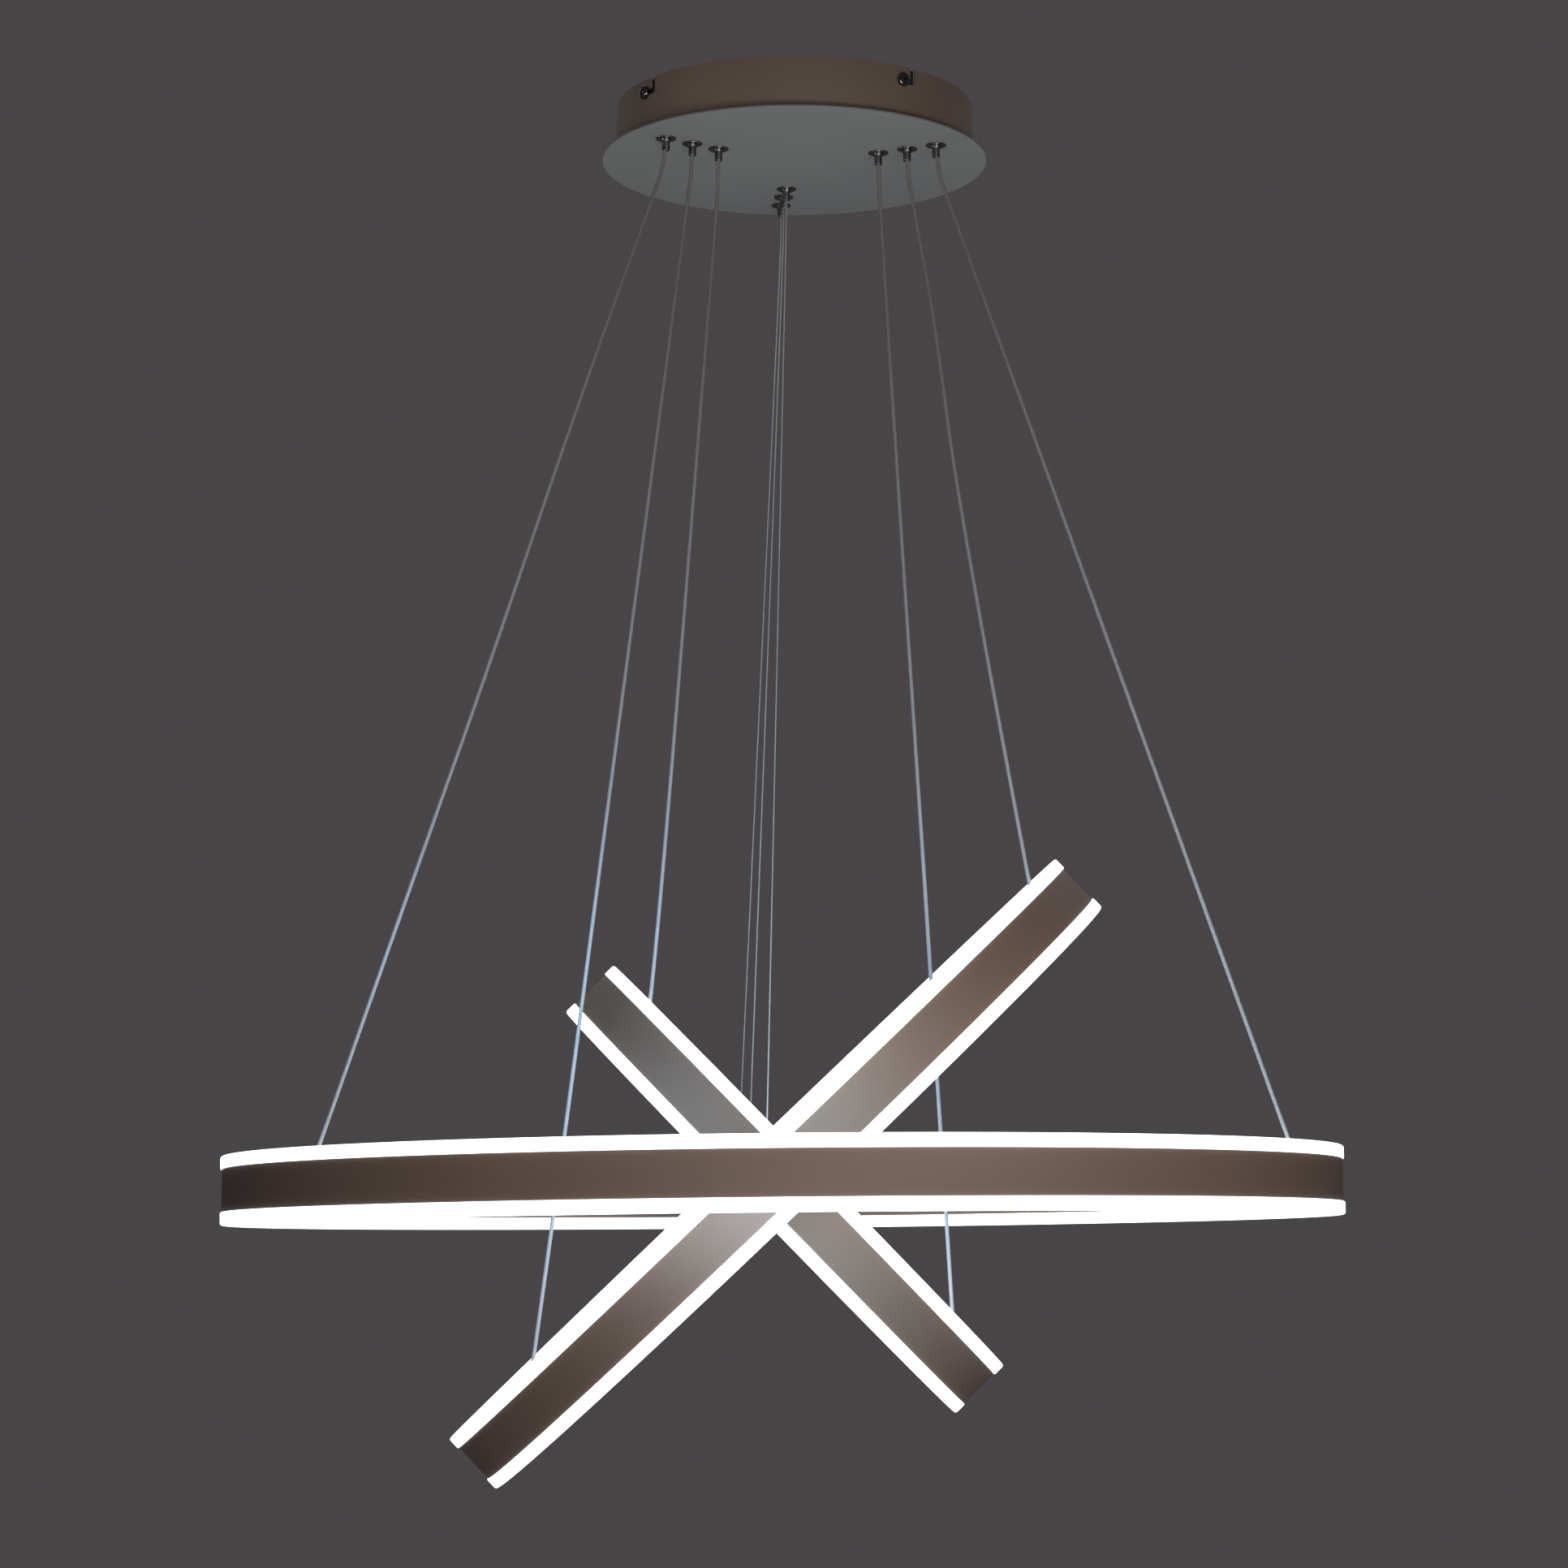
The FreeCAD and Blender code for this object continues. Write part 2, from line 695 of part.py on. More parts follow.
def boardAngles(ring):
    """Where the upper boards stand: as many as fit between each anchor and the next, evenly spread."""
    share = 360 / size("board_count")
    taken = math.degrees(size("anchor_length / 2 + board_gap") / size(channelMiddle(ring)))
    ends = sorted(wireEnds[ring, row] for row in rowTurns)
    angles = []
    for start, stop in zip(ends, ends[1:] + [ends[0] + 360]):
        room = stop - start - 2 * taken
        count = int(room / share)
        angles += [start + taken + room * (step + 1 / 2) / count for step in range(count)]
    return angles


def anchorTop(ring, row):
    """The middle of an anchor's upper face, on the ring."""
    angle = math.radians(wireEnds[ring, row])
    radius = size(channelMiddle(ring))
    high = size("band_height / 2 - anchor_gap")
    local = FreeCAD.Vector(radius * math.cos(angle), radius * math.sin(angle), high)
    return ringPlace(ring).multVec(local)


def lastRun(ring, row):
    """The direction of a wire where it enters its ring."""
    points = wireCorners(ring, row)
    return (points[-1] - points[-2]).normalize()


def along(direction, start, back):
    """A placement whose Z runs along a direction, that starts some way back from a point."""
    return FreeCAD.Placement(start - direction * back, FreeCAD.Rotation(Z, direction))


def makeAnchors(ring):
    """Blocks in the upper channel, each with a blind slanting hole that holds a wire's end."""
    wide = "(ring_width / 2 - band_inset - band_wall - anchor_gap)"
    inside = size(f"{channelMiddle(ring)} - {wide}")
    corner = FreeCAD.Vector(inside, -size("anchor_length / 2"), size("band_web / 2"))
    anchors = []
    for row in rowTurns:
        name = f"{ring}_anchor_{row}"
        block = doc.addObject("Part::Box", name + "_block")
        bind(block, Length=f"2 * {wide}", Width="anchor_length",
             Height="band_height / 2 - anchor_gap - band_web / 2")
        block.Placement = ringPlace(ring).multiply(turned(wireEnds[ring, row], corner))
        start = along(lastRun(ring, row), anchorTop(ring, row), size("overrun"))
        deep = "overrun + anchor_depth + wire_gap"
        hole = cylinder(name + "_hole", f"{wireRadius(row)} + wire_fit", deep, start)
        anchors.append(cutBy(name, block, [hole]))
    return group(f"{ring}_wire_anchors", anchors)


def makeTopDiffuser(ring):
    """The upper cover, with a slanting hole for each wire."""
    base = makeDiffuser(f"{ring}_top_cover", ring, 1)
    tools = [
        cylinder(f"{ring}_top_hole_{row}", f"{wireRadius(row)} + wire_gap", "2 * ring_width",
                 along(lastRun(ring, row), anchorTop(ring, row), size("2 * ring_width - diffuser_edge")))
        for row in rowTurns
    ]
    return cutBy(f"{ring}_top_diffuser", base, tools)


# Wires


def wireCorners(ring, row):
    """The points of a wire's route: down through its grip, past its chosen points and into its anchor."""
    grip = gripPlace(ring, row).Base
    top = grip + Z * size("grip_rise")
    bend = grip - Z * size("nozzle_drop + wire_bend_drop")
    points = [top, bend] + [FreeCAD.Vector(*point) for point in wirePoints[ring, row]]
    end = anchorTop(ring, row)
    run = (end - points[-1]).normalize()
    return points + [end + run * size("anchor_depth")]


def roundedPath(points):
    """Straight runs joined by tangent arcs, each as large as its two runs allow."""
    edges, radii = [], []
    start = points[0]
    for before, corner, after in zip(points, points[1:], points[2:]):
        back, on = (before - corner), (after - corner)
        shorter = min(back.Length, on.Length) * wireArcShare
        half = (math.pi - back.getAngle(on)) / 2
        back.normalize()
        on.normalize()
        first, last = corner + back * shorter, corner + on * shorter
        radius = shorter / math.tan(half)
        inward = (back + on).normalize()
        middle = corner + inward * (radius / math.cos(half) - radius)
        edges.append(Part.LineSegment(start, first).toShape())
        edges.append(Part.Arc(first, middle, last).toShape())
        radii.append(radius)
        start = last
    edges.append(Part.LineSegment(start, points[-1]).toShape())
    return Part.Wire(edges), radii


def makeWire(name, ring, row):
    path, radii = roundedPath(wireCorners(ring, row))
    radius = size(wireRadius(row))
    start = path.Vertexes[0].Point
    section = Part.Wire(Part.Circle(start, Z, radius).toShape())
    tube = doc.addObject("Part::Feature", name)
    tube.Label = name
    tube.Shape = path.makePipeShell([section], True, False)
    share = tube.Shape.Volume / (math.pi * radius ** 2 * path.Length)
    print(name, "length", round(path.Length, 1), "volume share", round(share, 4))
    print("  arc radii", [round(r) for r in radii])
    return tube


def build():
    fillSheet()
    nodes = [makeBracket(), makeSideScrews(), *makeTerminal(), makeShell(), makePlate(), makePlateNuts()]
    nodes += [makeDriver(f"driver_{ring}", turn) for turn, ring in enumerate(rings)]
    nuts = []
    for row in rowTurns:
        nodes.append(group(f"cable_grips_{row}", [makeGripBody(ring, row) for ring in rings]))
        nuts += [makeGripNut(ring, row) for ring in rings]
        for ring in rings:
            nodes.append(makeNozzle(ring, row))
            nodes.append(makeSpring(ring, row))
            kind = "steel" if row == "rear" else "power"
            nodes.append(makeWire(f"{kind}_wire_{ring}_{row}", ring, row))
    nodes.append(group("grip_nuts", nuts))
    everyBoard = [360 * step / size("board_count") for step in range(int(size("board_count")))]
    for ring in rings:
        nodes += [
            makeBand(ring),
            makeTopDiffuser(ring),
            makeDiffuser(f"{ring}_bottom_diffuser", ring, -1),
            makeBoards(f"{ring}_top_boards", ring, 1, boardAngles(ring)),
            makeBoards(f"{ring}_bottom_boards", ring, -1, everyBoard),
            makeAnchors(ring),
        ]
    return nodes


def check(nodes):
    """Stops at an object that failed, or at a node whose shape isn't sound."""
    doc.recompute()
    for thing in doc.Objects:
        if "Invalid" in thing.State or "Error" in thing.State:
            raise ValueError(f"{thing.Label} failed: {thing.State}")
    for node in nodes:
        if node.Shape.isNull() or not node.Shape.isValid() or not node.Shape.Solids:
            raise ValueError(f"{node.Label} has no sound shape")


def write(nodes):
    os.makedirs("parts", exist_ok=True)
    for node in nodes:
        node.Shape.exportStep(f"parts/{node.Label}.step")
    print(len(nodes), "nodes,", sum(len(node.Shape.Solids) for node in nodes), "solids")


allNodes = build()
check(allNodes)
write(allNodes)
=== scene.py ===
import math

import bpy
from mathutils import Matrix, Vector


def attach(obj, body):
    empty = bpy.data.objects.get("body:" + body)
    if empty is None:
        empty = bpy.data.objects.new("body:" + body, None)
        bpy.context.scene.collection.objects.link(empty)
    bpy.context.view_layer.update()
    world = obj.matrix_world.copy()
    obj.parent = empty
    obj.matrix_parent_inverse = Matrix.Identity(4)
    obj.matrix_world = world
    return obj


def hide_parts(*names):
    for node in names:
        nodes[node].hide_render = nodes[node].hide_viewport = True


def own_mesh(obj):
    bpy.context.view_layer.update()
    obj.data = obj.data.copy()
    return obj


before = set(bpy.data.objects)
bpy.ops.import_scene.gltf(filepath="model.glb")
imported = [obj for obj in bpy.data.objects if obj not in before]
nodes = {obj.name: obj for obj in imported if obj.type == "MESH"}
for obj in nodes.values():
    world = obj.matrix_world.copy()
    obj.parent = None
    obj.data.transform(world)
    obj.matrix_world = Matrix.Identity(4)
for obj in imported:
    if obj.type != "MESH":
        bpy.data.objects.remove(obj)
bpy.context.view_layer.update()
print("frame loaded:", len(nodes), "nodes")

# Places and sizes that several pieces share, in metres and degrees
rings = {
    "large": {"radius": 0.400, "centre": (-0.0088, 0.0, -0.7965), "lean": -0.57, "nod": -0.98, "steps": 320},
    "medium": {"radius": 0.300, "centre": (-0.0123, 0.0048, -0.7844), "lean": -43.64, "nod": 1.32,
               "steps": 272},
    "small": {"radius": 0.200, "centre": (-0.0080, 0.0002, -0.7968), "lean": 45.6, "nod": 0.29, "steps": 224},
}
rows = {"rear": 95.0, "left": 215.0, "right": 335.0}  # the direction of each row of grips
gripRadius = {"small": 0.068, "medium": 0.091, "large": 0.114}
canopy = {
    "drop": 0.040,
    "wallRadius": 0.1325,
    "plateRadius": 0.1425,
    "plateThickness": 0.0015,
    "screwTurn": 35.6,
    "quarters": 4,
    "steps": 288,
    "edge": 0.0002,
    "arc": 4,
}
ringSection = {
    "width": 0.020,
    "bandHeight": 0.030,
    "inset": 0.001,
    "wall": 0.0016,
    "web": 0.002,
    "edge": 0.00025,
    "coverHeight": 0.009,
    "coverRound": 0.0016,
    "coverFoot": 0.0008,
    "bandArc": 3,
    "bandSmooth": 32,
    "coverArc": 6,
    "coverSmooth": 40,
}
samePlace = 1e-6  # points nearer than this are one point


# Small helpers for modelling


def clearSelection():
    bpy.ops.object.select_all(action="DESELECT")


def pick(piece):
    clearSelection()
    piece.select_set(True)
    bpy.context.view_layer.objects.active = piece


def place(piece, matrix):
    piece.matrix_world = matrix
    pick(piece)
    bpy.ops.object.transform_apply(location=True, rotation=True, scale=True)
    return piece


def smooth(piece, angle):
    pick(piece)
    bpy.ops.object.shade_smooth_by_angle(angle=math.radians(angle))
    return piece


def tidyMesh(piece):
    pick(piece)
    bpy.ops.object.mode_set(mode="EDIT")
    bpy.ops.mesh.select_all(action="SELECT")
    bpy.ops.mesh.remove_doubles(threshold=samePlace)
    bpy.ops.mesh.normals_make_consistent(inside=False)
    bpy.ops.object.mode_set(mode="OBJECT")
    return piece


def loopOf(name, corners):
    # a closed loop of edges in the XZ plane, from a circle whose points are moved
    clearSelection()
    bpy.ops.mesh.primitive_circle_add(vertices=len(corners), radius=0.01, fill_type="NOTHING")
    piece = bpy.context.object
    piece.name = name
    for vertex, (across, up) in zip(piece.data.vertices, corners):
        vertex.co = (across, 0, up)
    return piece


def rounded(corners, pieces):
    # corners are (across, up, radius); each one with a radius becomes an arc
    points = []
    count = len(corners)
    for number, (across, up, radius) in enumerate(corners):
        corner = Vector((across, up))
        if radius == 0:
            points.append(tuple(corner))
            continue
        back = Vector(corners[number - 1][:2]) - corner
        on = Vector(corners[(number + 1) % count][:2]) - corner
        half = back.angle(on) / 2
        back.normalize()
        on.normalize()
        reach = radius / math.tan(half)
        middle = corner + (back + on).normalized() * (radius / math.sin(half))
        start = corner + back * reach - middle
        sweep = start.angle_signed(corner + on * reach - middle)
        for step in range(pieces + 1):
            turn = Matrix.Rotation(-sweep * step / pieces, 2)
            points.append(tuple(middle + turn @ start))
    return points


def turnProfile(name, corners, steps):
    piece = loopOf(name, corners)
    pick(piece)
    bpy.ops.object.mode_set(mode="EDIT")
    bpy.ops.mesh.select_all(action="SELECT")
    bpy.ops.mesh.spin(steps=steps, angle=2 * math.pi, center=(0, 0, 0), axis=(0, 0, 1))
    bpy.ops.object.mode_set(mode="OBJECT")
    return tidyMesh(piece)


def prism(name, corners, start, depth):
    # an outline in the YZ plane, filled and pushed along +X
    piece = loopOf(name, corners)
    pick(piece)
    bpy.ops.object.mode_set(mode="EDIT")
    bpy.ops.mesh.select_all(action="SELECT")
    bpy.ops.mesh.edge_face_add()
    bpy.ops.mesh.extrude_region_move(TRANSFORM_OT_translate={"value": (0, depth, 0)})
    bpy.ops.object.mode_set(mode="OBJECT")
    tidyMesh(piece)
    turn = Matrix.Rotation(math.radians(-90), 4, "Z") @ Matrix.Scale(-1, 4, (1, 0, 0))
    return place(piece, Matrix.Translation((start, 0, 0)) @ turn)


def copyOf(piece, name, matrix):
    pick(piece)
    bpy.ops.object.duplicate(linked=False)
    twin = bpy.context.object
    twin.name = name
    return place(twin, matrix)


def joined(name, pieces):
    pick(pieces[0])
    for piece in pieces[1:]:
        piece.select_set(True)
    bpy.ops.object.join()
    pieces[0].name = name
    return pieces[0]


def cutWith(piece, cutter):
    pick(cutter)
    bpy.ops.object.mode_set(mode="EDIT")
    bpy.ops.mesh.select_all(action="SELECT")
    bpy.ops.mesh.normals_make_consistent(inside=False)
    bpy.ops.object.mode_set(mode="OBJECT")
    pick(piece)
    cut = piece.modifiers.new("Cut", "BOOLEAN")
    cut.operation = "DIFFERENCE"
    cut.solver = "EXACT"
    cut.object = cutter
    bpy.ops.object.modifier_apply(modifier=cut.name)
    bpy.data.objects.remove(cutter)
    return piece


def dress(piece, material, body, slot, *replaced):
    piece.data.materials.clear()
    piece.data.materials.append(material)
    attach(piece, body)
    if replaced:
        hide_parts(*replaced)
    return piece


def ringMatrix(ring):
    facts = rings[ring]
    lean = Matrix.Rotation(math.radians(facts["lean"]), 4, "Y")
    nod = Matrix.Rotation(math.radians(facts["nod"]), 4, "X")
    return Matrix.Translation(facts["centre"]) @ lean @ nod


def gripSpot(ring, row):
    angle = math.radians(rows[row])
    return Vector((gripRadius[ring] * math.cos(angle), gripRadius[ring] * math.sin(angle), -canopy["drop"]))


# Materials


def newMaterial(name):
    material = bpy.data.materials.new(name)
    material.use_nodes = True
    tree = material.node_tree
    return material, tree, tree.nodes["Principled BSDF"]


def addNode(tree, kind, **settings):
    node = tree.nodes.new(kind)
    for key, value in settings.items():
        setattr(node, key, value)
    return node


def noiseAt(tree, scale, detail=4.0, stretch=(1, 1, 1)):
    # noise over the piece's own metres
    coordinates = addNode(tree, "ShaderNodeTexCoord")
    mapping = addNode(tree, "ShaderNodeMapping")
    mapping.inputs["Scale"].default_value = stretch
    noise = addNode(tree, "ShaderNodeTexNoise")
    noise.inputs["Scale"].default_value = scale
    noise.inputs["Detail"].default_value = detail
    tree.links.new(coordinates.outputs["Object"], mapping.inputs["Vector"])
    tree.links.new(mapping.outputs["Vector"], noise.inputs["Vector"])
    return noise.outputs["Fac"]


def between(tree, factor, low, high):
    span = addNode(tree, "ShaderNodeMapRange")
    span.inputs["To Min"].default_value = low
    span.inputs["To Max"].default_value = high
    tree.links.new(factor, span.inputs["Value"])
    return span.outputs["Result"]


def colourBetween(tree, factor, first, second):
    mix = addNode(tree, "ShaderNodeMix", data_type="RGBA")
    mix.inputs["A"].default_value = (*first, 1)
    mix.inputs["B"].default_value = (*second, 1)
    tree.links.new(factor, mix.inputs["Factor"])
    return mix.outputs["Result"]


def heightBetween(tree, top, low):
    # 0 at the higher place, 1 at the lower one
    coordinates = addNode(tree, "ShaderNodeTexCoord")
    parts = addNode(tree, "ShaderNodeSeparateXYZ")
    span = addNode(tree, "ShaderNodeMapRange")
    span.inputs["From Min"].default_value = top
    span.inputs["From Max"].default_value = low
    tree.links.new(coordinates.outputs["Object"], parts.inputs["Vector"])
    tree.links.new(parts.outputs["Z"], span.inputs["Value"])
    return span.outputs["Result"]


def addBump(tree, shader, height, strength, distance):
    bump = addNode(tree, "ShaderNodeBump")
    bump.inputs["Strength"].default_value = strength
    bump.inputs["Distance"].default_value = distance
    tree.links.new(height, bump.inputs["Height"])
    tree.links.new(bump.outputs["Normal"], shader.inputs["Normal"])


surfaceDetail = {"driftScale": 9.0, "driftDetail": 3.0, "grainDetail": 5.0, "grainDepth": 0.00004}


def makeSurface(name, look):
    # the colour drifts a little, and a fine grain stands in the surface and changes its roughness
    detail = surfaceDetail
    material, tree, shader = newMaterial(name)
    drift = noiseAt(tree, look.get("driftScale", detail["driftScale"]), detail["driftDetail"])
    grain = noiseAt(tree, look["grainScale"], detail["grainDetail"])
    tree.links.new(colourBetween(tree, drift, look["dark"], look["light"]), shader.inputs["Base Color"])
    tree.links.new(between(tree, grain, *look["roughness"]), shader.inputs["Roughness"])
    shader.inputs["Metallic"].default_value = look.get("metallic", 0.0)
    addBump(tree, shader, grain, look["grain"], detail["grainDepth"])
    return material


looks = {
    "lacquer": {"dark": (0.154, 0.100, 0.078), "light": (0.180, 0.119, 0.093), "roughness": (0.56, 0.66),
                "metallic": 0.08, "grainScale": 2600.0, "grain": 0.10},
    "powder": {"dark": (0.132, 0.089, 0.069), "light": (0.152, 0.104, 0.081), "roughness": (0.62, 0.74),
               "grainScale": 1800.0, "grain": 0.22},
    "plate": {"dark": (0.194, 0.187, 0.184), "light": (0.218, 0.211, 0.207), "roughness": (0.5, 0.64),
              "grainScale": 1500.0, "grain": 0.2},
    # painted shade for the plate's lit rim
    "rim": {"dark": (0.125, 0.120, 0.116), "light": (0.15, 0.145, 0.14), "roughness": (0.6, 0.7),
            "grainScale": 1500.0, "grain": 0.2},
    # near-black steel for the bracket: painted shade where it shows through the canopy's slots
    "paintedShadeDark": {"dark": (0.020, 0.019, 0.019), "light": (0.034, 0.033, 0.032), "roughness": (0.42, 0.6),
                  "metallic": 0.5, "grainScale": 600.0, "grain": 0.12, "driftScale": 45.0},
    "nickel": {"dark": (0.13, 0.125, 0.125), "light": (0.22, 0.215, 0.21), "roughness": (0.06, 0.15),
               "metallic": 1.0, "grainScale": 900.0, "grain": 0.05, "driftScale": 120.0},
    "steel": {"dark": (0.42, 0.42, 0.42), "light": (0.56, 0.56, 0.56), "roughness": (0.2, 0.36),
              "metallic": 1.0, "grainScale": 1200.0, "grain": 0.1, "driftScale": 80.0},
    "zinc": {"dark": (0.30, 0.31, 0.32), "light": (0.42, 0.43, 0.43), "roughness": (0.28, 0.5),
             "metallic": 0.9, "grainScale": 500.0, "grain": 0.12, "driftScale": 45.0},
    "brass": {"dark": (0.48, 0.34, 0.13), "light": (0.62, 0.46, 0.2), "roughness": (0.2, 0.36),
              "metallic": 1.0, "grainScale": 900.0, "grain": 0.08},
    "moulded": {"dark": (0.66, 0.66, 0.63), "light": (0.72, 0.72, 0.69), "roughness": (0.4, 0.55),
                "grainScale": 1600.0, "grain": 0.25},
    "board": {"dark": (0.74, 0.75, 0.72), "light": (0.82, 0.82, 0.79), "roughness": (0.3, 0.42),
              "grainScale": 900.0, "grain": 0.08},
    "anchor": {"dark": (0.44, 0.44, 0.45), "light": (0.54, 0.54, 0.55), "roughness": (0.3, 0.45),
               "metallic": 1.0, "grainScale": 700.0, "grain": 0.1},
}
surfaces = {name: makeSurface(name, look) for name, look in looks.items()}


def makeGlow():
    # milky acrylic, lit evenly from the channel behind it
    glow = {"light": (0.82, 0.95, 1.0), "strength": 2.2, "milk": (0.80, 0.83, 0.84),
            "pale": (0.86, 0.88, 0.89), "cloudScale": 26.0, "cloudDetail": 2.0, "grainScale": 1300.0,
            "roughness": (0.35, 0.48), "grain": 0.08, "grainDepth": 0.00003}
    material, tree, shader = newMaterial("milkyCover")
    shader.inputs["Emission Color"].default_value = (*glow["light"], 1)
    shader.inputs["Emission Strength"].default_value = glow["strength"]
    cloud = noiseAt(tree, glow["cloudScale"], glow["cloudDetail"])
    tree.links.new(colourBetween(tree, cloud, glow["milk"], glow["pale"]), shader.inputs["Base Color"])
    grain = noiseAt(tree, glow["grainScale"])
    tree.links.new(between(tree, grain, *glow["roughness"]), shader.inputs["Roughness"])
    addBump(tree, shader, grain, glow["grain"], glow["grainDepth"])
    return material


def makeJacket():
    # hazy jacket over two tinned conductors
    # it is paler and bluer low down: the rings' light on the cord, painted into its colour
    jacket = {"core": (0.165, 0.146, 0.142), "gap": (0.135, 0.118, 0.114), "paintedGlowCore": (0.36, 0.365, 0.40),
              "paintedGlowGap": (0.27, 0.272, 0.30), "top": -0.15, "low": -0.62, "roughness": (0.48, 0.60),
              "bandScale": 0.64, "hazeScale": 60.0, "coat": 0.12, "coatRoughness": 0.4}
    material, tree, shader = newMaterial("clearJacket")
    uvMap = addNode(tree, "ShaderNodeUVMap", uv_map="cordMap")
    wave = addNode(tree, "ShaderNodeTexWave", wave_type="BANDS", bands_direction="Y")
    wave.inputs["Scale"].default_value = jacket["bandScale"]
    wave.inputs["Distortion"].default_value = 0.0
    tree.links.new(uvMap.outputs["UV"], wave.inputs["Vector"])
    high = colourBetween(tree, wave.outputs["Fac"], jacket["gap"], jacket["core"])
    # painted light: the lower cord's colour as lit by the rings' glow
    low = colourBetween(tree, wave.outputs["Fac"], jacket["paintedGlowGap"], jacket["paintedGlowCore"])
    paintedGlowBlend = addNode(tree, "ShaderNodeMix", data_type="RGBA")
    tree.links.new(heightBetween(tree, jacket["top"], jacket["low"]), paintedGlowBlend.inputs["Factor"])
    tree.links.new(high, paintedGlowBlend.inputs["A"])
    tree.links.new(low, paintedGlowBlend.inputs["B"])
    tree.links.new(paintedGlowBlend.outputs["Result"], shader.inputs["Base Color"])
    haze = noiseAt(tree, jacket["hazeScale"])
    tree.links.new(between(tree, haze, *jacket["roughness"]), shader.inputs["Roughness"])
    shader.inputs["Coat Weight"].default_value = jacket["coat"]
    shader.inputs["Coat Roughness"].default_value = jacket["coatRoughness"]
    return material


def makeStrand():
    # drawn steel, with a grain that runs down the cord
    strand = {"dark": (0.24, 0.245, 0.25), "light": (0.36, 0.36, 0.365), "roughness": (0.42, 0.56),
              "metallic": 0.6, "grainScale": 1500.0, "stretch": (1, 1, 0.2), "grain": 0.1,
              "grainDepth": 0.00002}
    material, tree, shader = newMaterial("steelStrand")
    grain = noiseAt(tree, strand["grainScale"], stretch=strand["stretch"])
    tree.links.new(colourBetween(tree, grain, strand["dark"], strand["light"]), shader.inputs["Base Color"])
    tree.links.new(between(tree, grain, *strand["roughness"]), shader.inputs["Roughness"])
    shader.inputs["Metallic"].default_value = strand["metallic"]
    addBump(tree, shader, grain, strand["grain"], strand["grainDepth"])
    return material


glowing = makeGlow()
jacketed = makeJacket()
stranded = makeStrand()
print("materials made")


# Camera and cords come first


def makeCamera():
    eye = {"place": (-0.0077, -2.656, -0.8125), "pitch": 6.62, "lens": 84.24, "sensor": 36, "reach": 60}
    camera = bpy.data.objects.new("camera", bpy.data.cameras.new("camera"))
    bpy.context.scene.collection.objects.link(camera)
    camera.location = eye["place"]
    camera.rotation_euler = (math.radians(90 + eye["pitch"]), 0, 0)
    camera.data.lens = eye["lens"]
    camera.data.sensor_width = eye["sensor"]
    camera.data.clip_end = eye["reach"]
    bpy.context.scene.camera = camera


cords = {
    "gripTop": -0.029,
    "nozzleEnd": -0.0493,
    "smooth": 50,
    "resolution": 64,
    "power": {"radius": 0.00135, "sides": 18, "step": 0.003},
    "steel": {"radius": 0.0006, "sides": 12, "step": 0.0012, "lay": 0.010, "lobes": 6, "groove": 0.12},
}
cordRoutes = {
    ("large", "left"): {"length": 0.811, "bend": -0.0565, "points": [
        (-0.1502, -0.107, -0.235), (-0.218, -0.163, -0.464), (-0.2416, -0.181, -0.539)]},
    ("large", "right"): {"length": 0.801, "bend": -0.0565, "points": [(0.1689, -0.086, -0.260)]},
    ("large", "rear"): {"length": 0.817, "bend": -0.0668, "points": []},
    ("medium", "left"): {"length": 0.920, "bend": -0.0565, "points": [
        (-0.1278, -0.123, -0.515), (-0.1561, -0.162, -0.763)]},
    ("medium", "right"): {"length": 0.592, "bend": -0.0565, "points": [
        (0.1017, -0.058, -0.177), (0.1176, -0.085, -0.325)]},
    ("medium", "rear"): {"length": 0.784, "bend": -0.0668, "points": []},
    ("small", "left"): {"length": 0.665, "bend": -0.0668, "points": [
        (-0.067, -0.060, -0.225), (-0.095, -0.111, -0.622)]},
    ("small", "right"): {"length": 0.878, "bend": -0.0565, "points": [
        (0.071, -0.046, -0.234), (0.0954, -0.089, -0.654)]},
    ("small", "rear"): {"length": 0.748, "bend": -0.0668, "points": []},
}
cordEnds = {  # the angle round the ring at which each cord goes in
    ("large", "left"): 218.1, ("large", "right"): 331.5, ("large", "rear"): 95.5,
    ("medium", "left"): 221.5, ("medium", "right"): 331.2, ("medium", "rear"): 92.5,
    ("small", "left"): 218.8, ("small", "right"): 323.3, ("small", "rear"): 100.5,
}
anchor = {"middle": 0.010, "top": 0.0147, "depth": 0.006}


def anchorTop(ring, row):
    angle = math.radians(cordEnds[ring, row])
    radius = rings[ring]["radius"] - anchor["middle"]
    return ringMatrix(ring) @ Vector((radius * math.cos(angle), radius * math.sin(angle), anchor["top"]))


def routeOf(ring, row):
    spot = gripSpot(ring, row)
    bend = Vector((spot.x, spot.y, cordRoutes[ring, row]["bend"]))
    points = [Vector((spot.x, spot.y, cords["gripTop"])), bend]
    points += [Vector(point) for point in cordRoutes[ring, row]["points"]]
    end = anchorTop(ring, row)
    run = (end - points[-1]).normalized()
    points.append(end + run * anchor["depth"])
    # the long run beside the short first one gets a point as far from the bend as the top is
    reach = cords["gripTop"] - bend.z
    points.insert(2, bend + (points[2] - bend).normalized() * reach)
    return points


